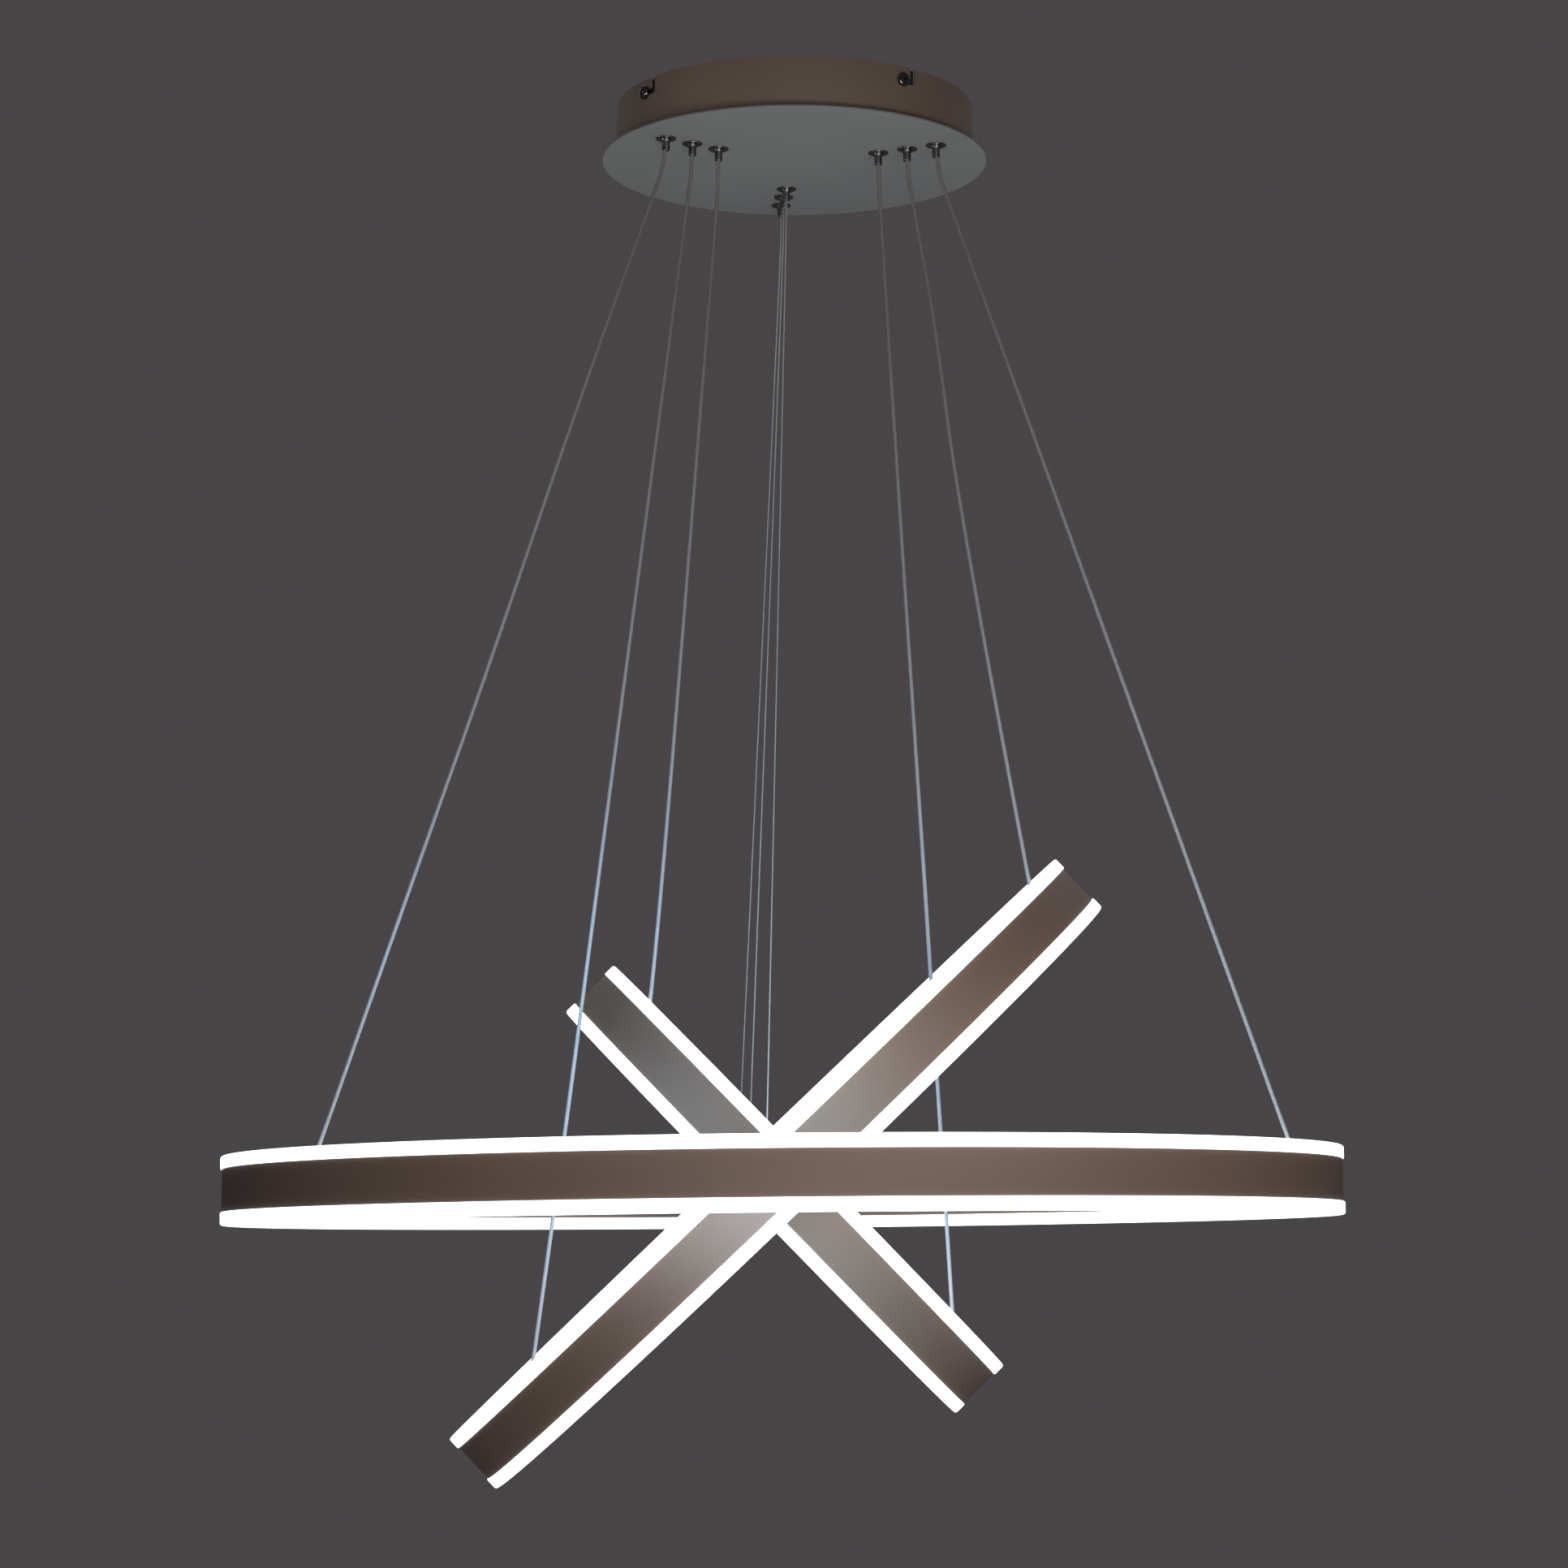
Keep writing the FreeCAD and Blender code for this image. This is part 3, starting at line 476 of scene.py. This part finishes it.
def splinePoints(points, step):
    data = bpy.data.curves.new("route", "CURVE")
    data.dimensions = "3D"
    spline = data.splines.new("NURBS")
    spline.points.add(len(points) - 1)
    for knot, point in zip(spline.points, points):
        knot.co = (*point, 1)
    spline.order_u = 3
    spline.use_endpoint_u = True
    data.resolution_u = cords["resolution"]
    carrier = bpy.data.objects.new("route", data)
    mesh = bpy.data.meshes.new_from_object(carrier)
    line = [vertex.co.copy() for vertex in mesh.vertices]
    bpy.data.objects.remove(carrier)
    # even steps along the line
    spaced = [line[0]]
    walked = 0.0
    for start, stop in zip(line, line[1:]):
        span = (stop - start).length
        while span > 0 and walked + span >= step:
            start = start.lerp(stop, (step - walked) / span)
            spaced.append(start)
            span = (stop - start).length
            walked = 0.0
        walked += span
    if (spaced[-1] - line[-1]).length < step / 2:
        spaced.pop()
    spaced.append(line[-1])
    return spaced


def tubeMesh(name, line, shape):
    # rings of points round the line; lobes and lay give a steel cord its twisted strands
    sides, radius = shape["sides"], shape["radius"]
    vertices, faces, places = [], [], []
    turn = Vector((1, 0, 0))
    walked = 0.0
    for number, point in enumerate(line):
        ahead = line[min(number + 1, len(line) - 1)] - line[max(number - 1, 0)]
        ahead.normalize()
        turn = (turn - ahead * turn.dot(ahead)).normalized()
        across = ahead.cross(turn)
        if number:
            walked += (point - line[number - 1]).length
        twist = 2 * math.pi * walked / shape["lay"] if "lay" in shape else 0.0
        for side in range(sides):
            angle = 2 * math.pi * side / sides
            out = radius
            if "lobes" in shape:
                out *= 1 - shape["groove"] * (0.5 - 0.5 * math.cos(shape["lobes"] * angle))
            around = angle + twist
            vertices.append(point + out * (math.cos(around) * turn + math.sin(around) * across))
            places.append((walked, side / sides))
    for number in range(len(line) - 1):
        for side in range(sides):
            low, after = number * sides + side, number * sides + (side + 1) % sides
            faces.append((low, after, after + sides, low + sides))
    faces.append(tuple(reversed(range(sides))))
    faces.append(tuple(range(len(vertices) - sides, len(vertices))))
    mesh = bpy.data.meshes.new(name)
    mesh.from_pydata(vertices, [], faces)
    layer = mesh.uv_layers.new(name="cordMap")
    for polygon in mesh.polygons:
        # a face that closes the ring of points reads its first point as the end of the map, not its start
        closing = any(places[vertex][1] > 0.5 for vertex in polygon.vertices)
        for corner, vertex in zip(polygon.loop_indices, polygon.vertices):
            along, share = places[vertex]
            layer.data[corner].uv = (along, 1.0 if closing and share == 0 else share)
    piece = bpy.data.objects.new(name, mesh)
    bpy.context.scene.collection.objects.link(piece)
    return piece


def underCover(ring, point):
    # true where a point of a cord is below the skin of the ring's upper cover
    local = ringMatrix(ring).inverted() @ point
    outer, top = rings[ring]["radius"], ringSection["bandHeight"] / 2 + ringSection["coverHeight"]
    return local.z < top and outer - ringSection["width"] < local.xy.length < outer


def makeCords():
    # the last bit of each cord, inside its ring, rides with the ring; the rest hangs from the canopy
    for ring in rings:
        for row in rows:
            kind = "steel" if row == "rear" else "power"
            points = routeOf(ring, row)
            shape = cords[kind]
            line = splinePoints(points, shape["step"])
            first = [underCover(ring, point) for point in line].index(True)
            piece = tubeMesh(f"{kind}Cord.{ring}.{row}", line[:first + 1], shape)
            end = tubeMesh(f"{kind}CordEnd.{ring}.{row}", line[first:], shape)
            smooth(piece, cords["smooth"])
            smooth(end, cords["smooth"])
            material = stranded if kind == "steel" else jacketed
            slot = "cable_steel" if kind == "steel" else "cable_clear"
            dress(piece, material, "canopy", slot, f"{kind}_wire_{ring}_{row}")
            dress(end, material, ring + "_ring", slot)
            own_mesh(piece)


makeCamera()
makeCords()
print("camera and cords made")


# Rings: a lacquered band with a milky cover above and below it


def makeBand(ring):
    cut = ringSection
    outer = rings[ring]["radius"] - cut["inset"]
    inner = rings[ring]["radius"] - cut["width"] + cut["inset"]
    high, web, wall, edge = cut["bandHeight"] / 2, cut["web"] / 2, cut["wall"], cut["edge"]
    corners = rounded([
        (outer, -high, edge), (outer, high, edge), (outer - wall, high, edge), (outer - wall, web, 0),
        (inner + wall, web, 0), (inner + wall, high, edge), (inner, high, edge), (inner, -high, edge),
        (inner + wall, -high, edge), (inner + wall, -web, 0), (outer - wall, -web, 0),
        (outer - wall, -high, edge),
    ], cut["bandArc"])
    piece = turnProfile(ring + "Band", corners, rings[ring]["steps"])
    place(piece, ringMatrix(ring))
    smooth(piece, cut["bandSmooth"])
    return dress(piece, surfaces["lacquer"], ring + "_ring", "band_brown", ring + "_band")


def drillCordHoles(cover, ring):
    drill = {"clear": 0.0003, "length": 0.06, "sides": 24}
    for row in rows:
        radius = cords["steel" if row == "rear" else "power"]["radius"] + drill["clear"]
        points = routeOf(ring, row)
        run = (points[-1] - points[-2]).normalized()
        clearSelection()
        bpy.ops.mesh.primitive_cylinder_add(vertices=drill["sides"], radius=radius, depth=drill["length"])
        turn = run.to_track_quat("Z", "Y").to_matrix().to_4x4()
        middle = anchorTop(ring, row) - run * drill["length"] / 2 + run * anchor["depth"] / 2
        cutWith(cover, place(bpy.context.object, Matrix.Translation(middle) @ turn))


def makeCover(ring, side):
    cut = ringSection
    outer, inner = rings[ring]["radius"], rings[ring]["radius"] - cut["width"]
    low = side * cut["bandHeight"] / 2
    high = low + side * cut["coverHeight"]
    foot, soft = cut["coverFoot"], cut["coverRound"]
    corners = [(inner, low, foot), (outer, low, foot), (outer, high, soft), (inner, high, soft)]
    where = "Upper" if side > 0 else "Lower"
    piece = turnProfile(f"{ring}{where}Cover", rounded(corners, cut["coverArc"]), rings[ring]["steps"])
    place(piece, ringMatrix(ring))
    if side > 0:
        drillCordHoles(piece, ring)
    smooth(piece, cut["coverSmooth"])
    node = f"{ring}_top_diffuser" if side > 0 else f"{ring}_bottom_diffuser"
    return dress(piece, glowing, ring + "_ring", "diffuser_milky", node)


for ring in rings:
    makeBand(ring)
    makeCover(ring, 1)
    makeCover(ring, -1)
print("rings made")


# Canopy: the wall with its bayonet slots, and the screws in them

wallCut = {
    "sheet": 0.001,
    "flange": 0.010,
    "bend": 0.0014,
    "slotDrop": 0.0099,
    "slotHalf": 0.0022,
    "slotTwist": 3.9,
    "slotOver": 0.004,
    "cutterDepth": 0.02,
    "smooth": 32,
}


def quarterTurns(first):
    # four directions round the canopy
    return [math.radians(first + 90 * step) for step in range(canopy["quarters"])]


def makeWall():
    cut = wallCut
    outer, low = canopy["wallRadius"], canopy["plateThickness"] - canopy["drop"]
    sheet, flange, bend, edge = cut["sheet"], cut["flange"], cut["bend"], canopy["edge"]
    corners = rounded([
        (outer - sheet, 0, edge), (outer, 0, edge), (outer, low, bend), (outer - flange, low, edge),
        (outer - flange, low + sheet, edge), (outer - sheet, low + sheet, bend - sheet),
    ], canopy["arc"])
    piece = turnProfile("canopyWall", corners, canopy["steps"])
    half, drop = cut["slotHalf"], cut["slotDrop"]
    across = outer * math.tan(math.radians(cut["slotTwist"]))
    # the slot has a half-round seat for the screw, runs along, and then up to the open top
    over, depth = cut["slotOver"], cut["cutterDepth"]
    seat = [
        (half * math.cos(math.radians(angle)), -drop + half * math.sin(math.radians(angle)))
        for angle in range(90, 271, 20)
    ]
    slot = seat + [(across + half, -drop - half), (across + half, over), (across - half, over),
                   (across - half, -drop + half)]
    for turn in quarterTurns(canopy["screwTurn"]):
        cutter = prism("slotCutter", slot, outer - depth / 2, depth)
        place(cutter, Matrix.Rotation(turn, 4, "Z"))
        cutWith(piece, cutter)
    smooth(piece, cut["smooth"])
    return dress(piece, surfaces["powder"], "canopy", "canopy_brown", "canopy_shell")


screwCut = {
    "seat": 0.1327,
    "shank": 0.002,
    "shankLength": 0.009,
    "point": 0.0004,
    "head": 0.005,
    "headHeight": 0.003,
    "headEdge": 0.0003,
    "neck": 0.0002,
    "crown": 0.0014,
    "recessLength": 0.0025,
    "recessWidth": 0.00055,
    "recessDepth": 0.0016,
    "recessOver": 0.001,
    "turnApart": 25,
    "arc": 5,
    "steps": 32,
    "smooth": 38,
}


def makeSideScrews():
    cut = screwCut
    head, high = cut["head"], cut["headHeight"]
    corners = rounded([
        (0, -cut["shankLength"], 0), (cut["shank"], -cut["shankLength"], cut["point"]),
        (cut["shank"], 0, cut["neck"]), (head, 0, cut["headEdge"]), (head, high, cut["crown"]), (0, high, 0),
    ], cut["arc"])
    first = turnProfile("sideScrew", corners, cut["steps"])
    far, near = cut["recessLength"], cut["recessWidth"]
    quarter = [(far, near), (near, near), (near, far)]
    half = quarter + [(-across, up) for across, up in reversed(quarter)]
    cross = half + [(across, -up) for across, up in reversed(half)]
    cutter = prism("crossCutter", cross, high - cut["recessDepth"], cut["recessDepth"] + cut["recessOver"])
    place(cutter, Matrix.Rotation(math.radians(-90), 4, "Y"))
    cutWith(first, cutter)
    smooth(first, cut["smooth"])
    lie = Matrix.Rotation(math.radians(90), 4, "Y")
    copies = []
    for number, turn in enumerate(quarterTurns(canopy["screwTurn"])):
        tilt = Matrix.Rotation(math.radians(cut["turnApart"] * number), 4, "Z")
        out = Matrix.Translation((cut["seat"], 0, -wallCut["slotDrop"]))
        seat = Matrix.Rotation(turn, 4, "Z") @ out @ lie
        copies.append(copyOf(first, f"screw{number}", seat @ tilt))
    bpy.data.objects.remove(first)
    piece = joined("sideScrews", copies)
    return dress(piece, surfaces["nickel"], "bracket", "screw_steel", "side_screws")


plateCut = {
    "edge": 0.0005,
    "hole": 0.0052,
    "holeSides": 40,
    "holeDepth": 0.01,
    "studRadius": 0.0015,
    "studCircle": 0.126,
    "studTurn": 65.0,
    "studLength": 0.005,
    "studEdge": 0.0004,
    "studArc": 3,
    "studSteps": 20,
    "smooth": 32,
    "rimUp": 0.8,
}


def makePlate():
    cut = plateCut
    low, high = -canopy["drop"], canopy["plateThickness"] - canopy["drop"]
    radius = canopy["plateRadius"]
    corners = [(0, low, 0), (radius, low, cut["edge"]), (radius, high, canopy["edge"]), (0, high, 0)]
    piece = turnProfile("canopyPlate", rounded(corners, canopy["arc"]), canopy["steps"])
    for ring in rings:
        for row in rows:
            clearSelection()
            bpy.ops.mesh.primitive_cylinder_add(vertices=cut["holeSides"], radius=cut["hole"],
                                                depth=cut["holeDepth"], location=gripSpot(ring, row))
            cutWith(piece, place(bpy.context.object, bpy.context.object.matrix_world.copy()))
    length, wide = cut["studLength"], cut["studRadius"]
    studCorners = [(0, 0, 0), (wide, 0, 0), (wide, length, cut["studEdge"]), (0, length, 0)]
    studs = []
    for number, turn in enumerate(quarterTurns(canopy["screwTurn"] + cut["studTurn"])):
        stud = turnProfile(f"stud{number}", rounded(studCorners, cut["studArc"]), cut["studSteps"])
        spot = (cut["studCircle"] * math.cos(turn), cut["studCircle"] * math.sin(turn), high)
        studs.append(place(stud, Matrix.Translation(spot)))
    piece = joined("canopyPlate", [piece, *studs])
    smooth(piece, cut["smooth"])
    dress(piece, surfaces["plate"], "canopy", "plate_white", "canopy_plate")
    # the rim gets a darker colour than the face: painted shade on its lit edge
    piece.data.materials.append(surfaces["rim"])
    for polygon in piece.data.polygons:
        if polygon.center.xy.length > radius - cut["edge"] and abs(polygon.normal.z) < cut["rimUp"]:
            polygon.material_index = 1
    return piece


makeWall()
makeSideScrews()
makePlate()
print("canopy made")


# Cable grips: the body is screwed into the plate, and the nozzle slides in it

gripCut = {
    "flange": 0.0075,
    "flangeThickness": 0.001,
    "flangeEdge": 0.0004,
    "flangeBack": 0.0002,
    "dome": 0.0041,
    "domeHeight": 0.002,
    "domeRound": 0.0013,
    "domeFoot": 0.0003,
    "shank": 0.005,
    "rise": 0.011,
    "cap": 0.002,
    "topEdge": 0.0003,
    "chamber": 0.0039,
    "bore": 0.00293,
    "boreEdge": 0.00015,
    "wireFit": 0.00005,
    "threadPitch": 0.0008,
    "threadDepth": 0.0002,
    "arc": 5,
    "steps": 48,
    "smooth": 35,
}
nozzleCut = {
    "radius": 0.00285,
    "drop": 0.0093,
    "tipEdge": 0.00035,
    "boreEdge": 0.00025,
    "gap": 0.0002,
    "collar": 0.0037,
    "collarThickness": 0.0015,
    "collarEdge": 0.0002,
    "wireGap": 0.0003,
    "groove": 0.00022,
    "grooveAt": 0.0022,
    "arc": 4,
    "steps": 40,
    "smooth": 35,
}


def makeGripBody(kind):
    cut = gripCut
    under = -cut["flangeThickness"]
    low = under - cut["domeHeight"]
    wire = cords[kind]["radius"] + cut["wireFit"]
    corners = [
        (cut["bore"], low, cut["boreEdge"]), (cut["dome"], low, cut["domeRound"]),
        (cut["dome"], under, cut["domeFoot"]), (cut["flange"], under, cut["flangeEdge"]),
        (cut["flange"], 0, cut["flangeBack"]), (cut["shank"], 0, 0),
    ]
    # the thread is a row of fine ridges on the shank
    height = 0.0
    while height + cut["threadPitch"] < cut["rise"]:
        corners.append((cut["shank"] - cut["threadDepth"], height + cut["threadPitch"] / 2, 0))
        corners.append((cut["shank"], height + cut["threadPitch"], 0))
        height += cut["threadPitch"]
    top, roof = cut["rise"], cut["rise"] - cut["cap"]
    corners += [
        (cut["shank"] - cut["topEdge"], top, 0), (wire, top, cut["topEdge"]), (wire, roof, 0),
        (cut["chamber"], roof, 0), (cut["chamber"], 0, 0), (cut["bore"], 0, 0),
    ]
    return turnProfile("gripBody", rounded(corners, cut["arc"]), cut["steps"])


def makeNozzle(kind):
    cut = nozzleCut
    bore = cords[kind]["radius"] + cut["wireGap"]
    radius, collar, edge = cut["radius"], cut["collar"], cut["collarEdge"]
    at, groove = -cut["drop"] + cut["grooveAt"], cut["groove"]
    low, high = cut["gap"], cut["gap"] + cut["collarThickness"]
    corners = [
        (bore, -cut["drop"], cut["boreEdge"]), (radius, -cut["drop"], cut["tipEdge"]),
        (radius, at - groove, 0), (radius - groove, at, 0), (radius, at + groove, 0),
        (radius, low, 0), (collar, low, edge), (collar, high, edge), (bore, high, 0),
    ]
    return turnProfile("nozzle", rounded(corners, cut["arc"]), cut["steps"])


springCut = {
    "middle": 0.0035,
    "wire": 0.0002,
    "sides": 8,
    "low": 0.0019,
    "high": 0.0088,
    "turns": 6,
    "steps": 24,
    "travel": 0.002,
    "smooth": 60,
}


def makeSpring():
    # a circle of wire that is screwed round the nozzle's axis
    cut = springCut
    clearSelection()
    bpy.ops.mesh.primitive_circle_add(vertices=cut["sides"], radius=cut["wire"], fill_type="NGON")
    piece = bpy.context.object
    start = Matrix.Translation((cut["middle"], 0, cut["low"] + cut["wire"]))
    place(piece, start @ Matrix.Rotation(math.radians(90), 4, "X"))
    coil = piece.modifiers.new("Coil", "SCREW")
    coil.steps = cut["steps"]
    coil.render_steps = cut["steps"]
    coil.iterations = cut["turns"]
    coil.screw_offset = (cut["high"] - cut["low"] - 2 * cut["wire"]) / cut["turns"]
    coil.use_merge_vertices = True
    bpy.ops.object.modifier_apply(modifier=coil.name)
    return tidyMesh(piece)


def makeGrips():
    bodies = {kind: makeGripBody(kind) for kind in ("power", "steel")}
    nozzles = {kind: makeNozzle(kind) for kind in ("power", "steel")}
    spring = makeSpring()
    for row in rows:
        kind = "steel" if row == "rear" else "power"
        copies = []
        for ring in rings:
            spot = Matrix.Translation(gripSpot(ring, row))
            copies.append(copyOf(bodies[kind], f"grip.{ring}.{row}", spot))
            nozzle = copyOf(nozzles[kind], f"nozzle.{ring}.{row}", spot)
            smooth(nozzle, nozzleCut["smooth"])
            dress(nozzle, surfaces["nickel"], f"nozzle_{ring}_{row}", "nozzle_metal",
                  f"grip_nozzle_{ring}_{row}")
            coil = copyOf(spring, f"spring.{ring}.{row}", spot)
            smooth(coil, springCut["smooth"])
            dress(coil, surfaces["steel"], "canopy", "spring_steel", f"grip_spring_{ring}_{row}")
            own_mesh(coil)
        grips = joined(f"grips.{row}", copies)
        smooth(grips, gripCut["smooth"])
        dress(grips, surfaces["nickel"], "canopy", "grip_metal", f"cable_grips_{row}")
    for spare in (*bodies.values(), *nozzles.values(), spring):
        bpy.data.objects.remove(spare)


makeGrips()
print("grips made")


# CAD nodes that stay: each one's look and the width of the bevel on its edges

keptNodes = {
    # the bracket is near-black: painted shade behind the canopy's slots
    "ceiling_bracket": ("paintedShadeDark", 0.0003),
    "terminal_block": ("moulded", 0.0005),
    "terminal_screws": ("brass", 0.0002),
    "plate_nuts": ("zinc", 0.0002),
    "grip_nuts": ("zinc", 0.0003),
}
for ring in rings:
    keptNodes["driver_" + ring] = ("moulded", 0.0008)
    keptNodes[ring + "_top_boards"] = ("board", 0)
    keptNodes[ring + "_bottom_boards"] = ("board", 0)
    keptNodes[ring + "_wire_anchors"] = ("anchor", 0.0002)
keptEdge = {"segments": 2, "angle": 35}


def finishKept():
    for name, (look, width) in keptNodes.items():
        node = nodes[name]
        node.data.materials.clear()
        node.data.materials.append(surfaces[look])
        if width:
            node.modifiers.new("Weld", "WELD").merge_threshold = samePlace
            bevel = node.modifiers.new("Edges", "BEVEL")
            bevel.width = width
            bevel.segments = keptEdge["segments"]
            bevel.limit_method = "ANGLE"
            bevel.angle_limit = math.radians(keptEdge["angle"])


finishKept()
print("kept nodes finished")


# Light, floor and background


def seenDirectly(tree):
    # 1 for what the camera sees, also in gloss and through glass
    path = addNode(tree, "ShaderNodeLightPath")
    first = addNode(tree, "ShaderNodeMath", operation="MAXIMUM")
    second = addNode(tree, "ShaderNodeMath", operation="MAXIMUM")
    tree.links.new(path.outputs["Is Camera Ray"], first.inputs[0])
    tree.links.new(path.outputs["Is Glossy Ray"], first.inputs[1])
    tree.links.new(first.outputs[0], second.inputs[0])
    tree.links.new(path.outputs["Is Transmission Ray"], second.inputs[1])
    return second.outputs[0]


def makeFloor():
    floor = {"height": -4.4, "size": 24.0, "colour": (0.72, 0.72, 0.71), "roughness": 0.7,
             "seen": (0.0205, 0.0145, 0.0195)}
    clearSelection()
    bpy.ops.mesh.primitive_plane_add(size=floor["size"], location=(0, 0, floor["height"]))
    plane = bpy.context.object
    plane.name = "floor"
    material, tree, shader = newMaterial("paleFloor")
    shader.inputs["Base Color"].default_value = (*floor["colour"], 1)
    shader.inputs["Roughness"].default_value = floor["roughness"]
    # far off, the floor is as bright as the background, so its edge hardly shows
    shader.inputs["Emission Color"].default_value = (*floor["seen"], 1)
    tree.links.new(seenDirectly(tree), shader.inputs["Emission Strength"])
    plane.data.materials.append(material)


def makeWorld():
    # what the camera, gloss and glass see is one plain grey; the rest of the light is softer and paler
    sky = {"seen": (0.066, 0.060, 0.065), "light": (0.95, 0.97, 1.0), "strength": 0.06}
    world = bpy.data.worlds.new("studio")
    bpy.context.scene.world = world
    world.use_nodes = True
    tree = world.node_tree
    tree.nodes.clear()
    seen = addNode(tree, "ShaderNodeBackground")
    seen.inputs["Color"].default_value = (*sky["seen"], 1)
    light = addNode(tree, "ShaderNodeBackground")
    light.inputs["Color"].default_value = (*sky["light"], 1)
    light.inputs["Strength"].default_value = sky["strength"]
    mix = addNode(tree, "ShaderNodeMixShader")
    out = addNode(tree, "ShaderNodeOutputWorld")
    tree.links.new(seenDirectly(tree), mix.inputs["Fac"])
    tree.links.new(light.outputs[0], mix.inputs[1])
    tree.links.new(seen.outputs[0], mix.inputs[2])
    tree.links.new(mix.outputs[0], out.inputs["Surface"])


def makeLamp(name, where, aim, size, power, high=None, colour=(1, 1, 1), spread=180):
    # a round lamp, or an oval one where its height is given too
    lamp = bpy.data.objects.new(name, bpy.data.lights.new(name, "AREA"))
    bpy.context.scene.collection.objects.link(lamp)
    lamp.location = where
    lamp.rotation_euler = (Vector(aim) - Vector(where)).to_track_quat("-Z", "Y").to_euler()
    lamp.data.shape = "ELLIPSE"
    lamp.data.size = size
    lamp.data.size_y = high or size
    lamp.data.energy = power
    lamp.data.color = colour
    lamp.data.spread = math.radians(spread)
    lamp.visible_camera = False


def makeGlowLamp():
    # the rings' light on the cords and on the canopy, as one soft ball
    ball = {"where": (0, 0, -0.80), "radius": 0.16, "power": 2.6, "colour": (0.84, 0.93, 1.0)}
    lamp = bpy.data.objects.new("glowLamp", bpy.data.lights.new("glowLamp", "POINT"))
    bpy.context.scene.collection.objects.link(lamp)
    lamp.location = ball["where"]
    lamp.data.shadow_soft_size = ball["radius"]
    lamp.data.energy = ball["power"]
    lamp.data.color = ball["colour"]
    lamp.visible_camera = False


lamps = {
    # the studio's light
    "frontLamp": {"where": (0.72, -3.5, -1.5), "aim": (0, 0, -0.6), "size": 2.0, "power": 53},
    "leftLamp": {"where": (-2.6, 2.9, 1.2), "aim": (0, 0, -0.6), "size": 2.0, "power": 6},
    "rightLamp": {"where": (2.6, 2.9, 1.2), "aim": (0, 0, -0.6), "size": 2.0, "power": 6},
    "backLamp": {"where": (0, 3.0, 2.4), "aim": (0, 0, -0.6), "size": 2.4, "power": 60},
    # a narrow one on the canopy's wall
    "canopyLamp": {"where": (-2.6, -1.0, -0.3), "aim": (0, 0, -0.02), "size": 0.3, "power": 0.065,
                   "spread": 14},
    # the large ring's light on the two inner ones, whose outer faces it reaches from close by
    "crossingLamp": {"where": (-0.02, -0.355, -0.745), "aim": (-0.02, 0, -0.745), "size": 0.20,
                     "power": 0.20, "colour": (0.52, 0.82, 1.0)},
    "lowLamp": {"where": (0, -0.345, -0.845), "aim": (0, 0, -0.845), "size": 0.30, "high": 0.10,
                "power": 0.155, "colour": (0.57, 0.81, 1.0)},
    # and on the small ring's upper and lower arm
    "smallHighLamp": {"where": (-0.22, -0.36, -0.62), "aim": (-0.10, -0.16, -0.69), "size": 0.14,
                      "power": 0.17, "colour": (0.35, 0.70, 1.0), "spread": 110},
    "smallLowLamp": {"where": (0.10, -0.36, -0.98), "aim": (0.09, -0.17, -0.90), "size": 0.14,
                     "power": 0.11, "colour": (0.42, 0.76, 1.0), "spread": 110},
    # soft light on the upper arms of the tilted rings
    "rightArmLamp": {"where": (0.30, -0.75, -0.45), "aim": (0.10, -0.2, -0.68), "size": 0.25, "power": 1.3},
    "leftArmLamp": {"where": (-0.30, -0.75, -0.45), "aim": (-0.10, -0.1, -0.70), "size": 0.25,
                    "power": 0.40, "colour": (0.90, 1.0, 1.0)},
}
makeFloor()
makeWorld()
for name, lamp in lamps.items():
    makeLamp(name, **lamp)
makeGlowLamp()
bpy.context.scene.view_settings.view_transform = "Standard"
print("light and floor made")
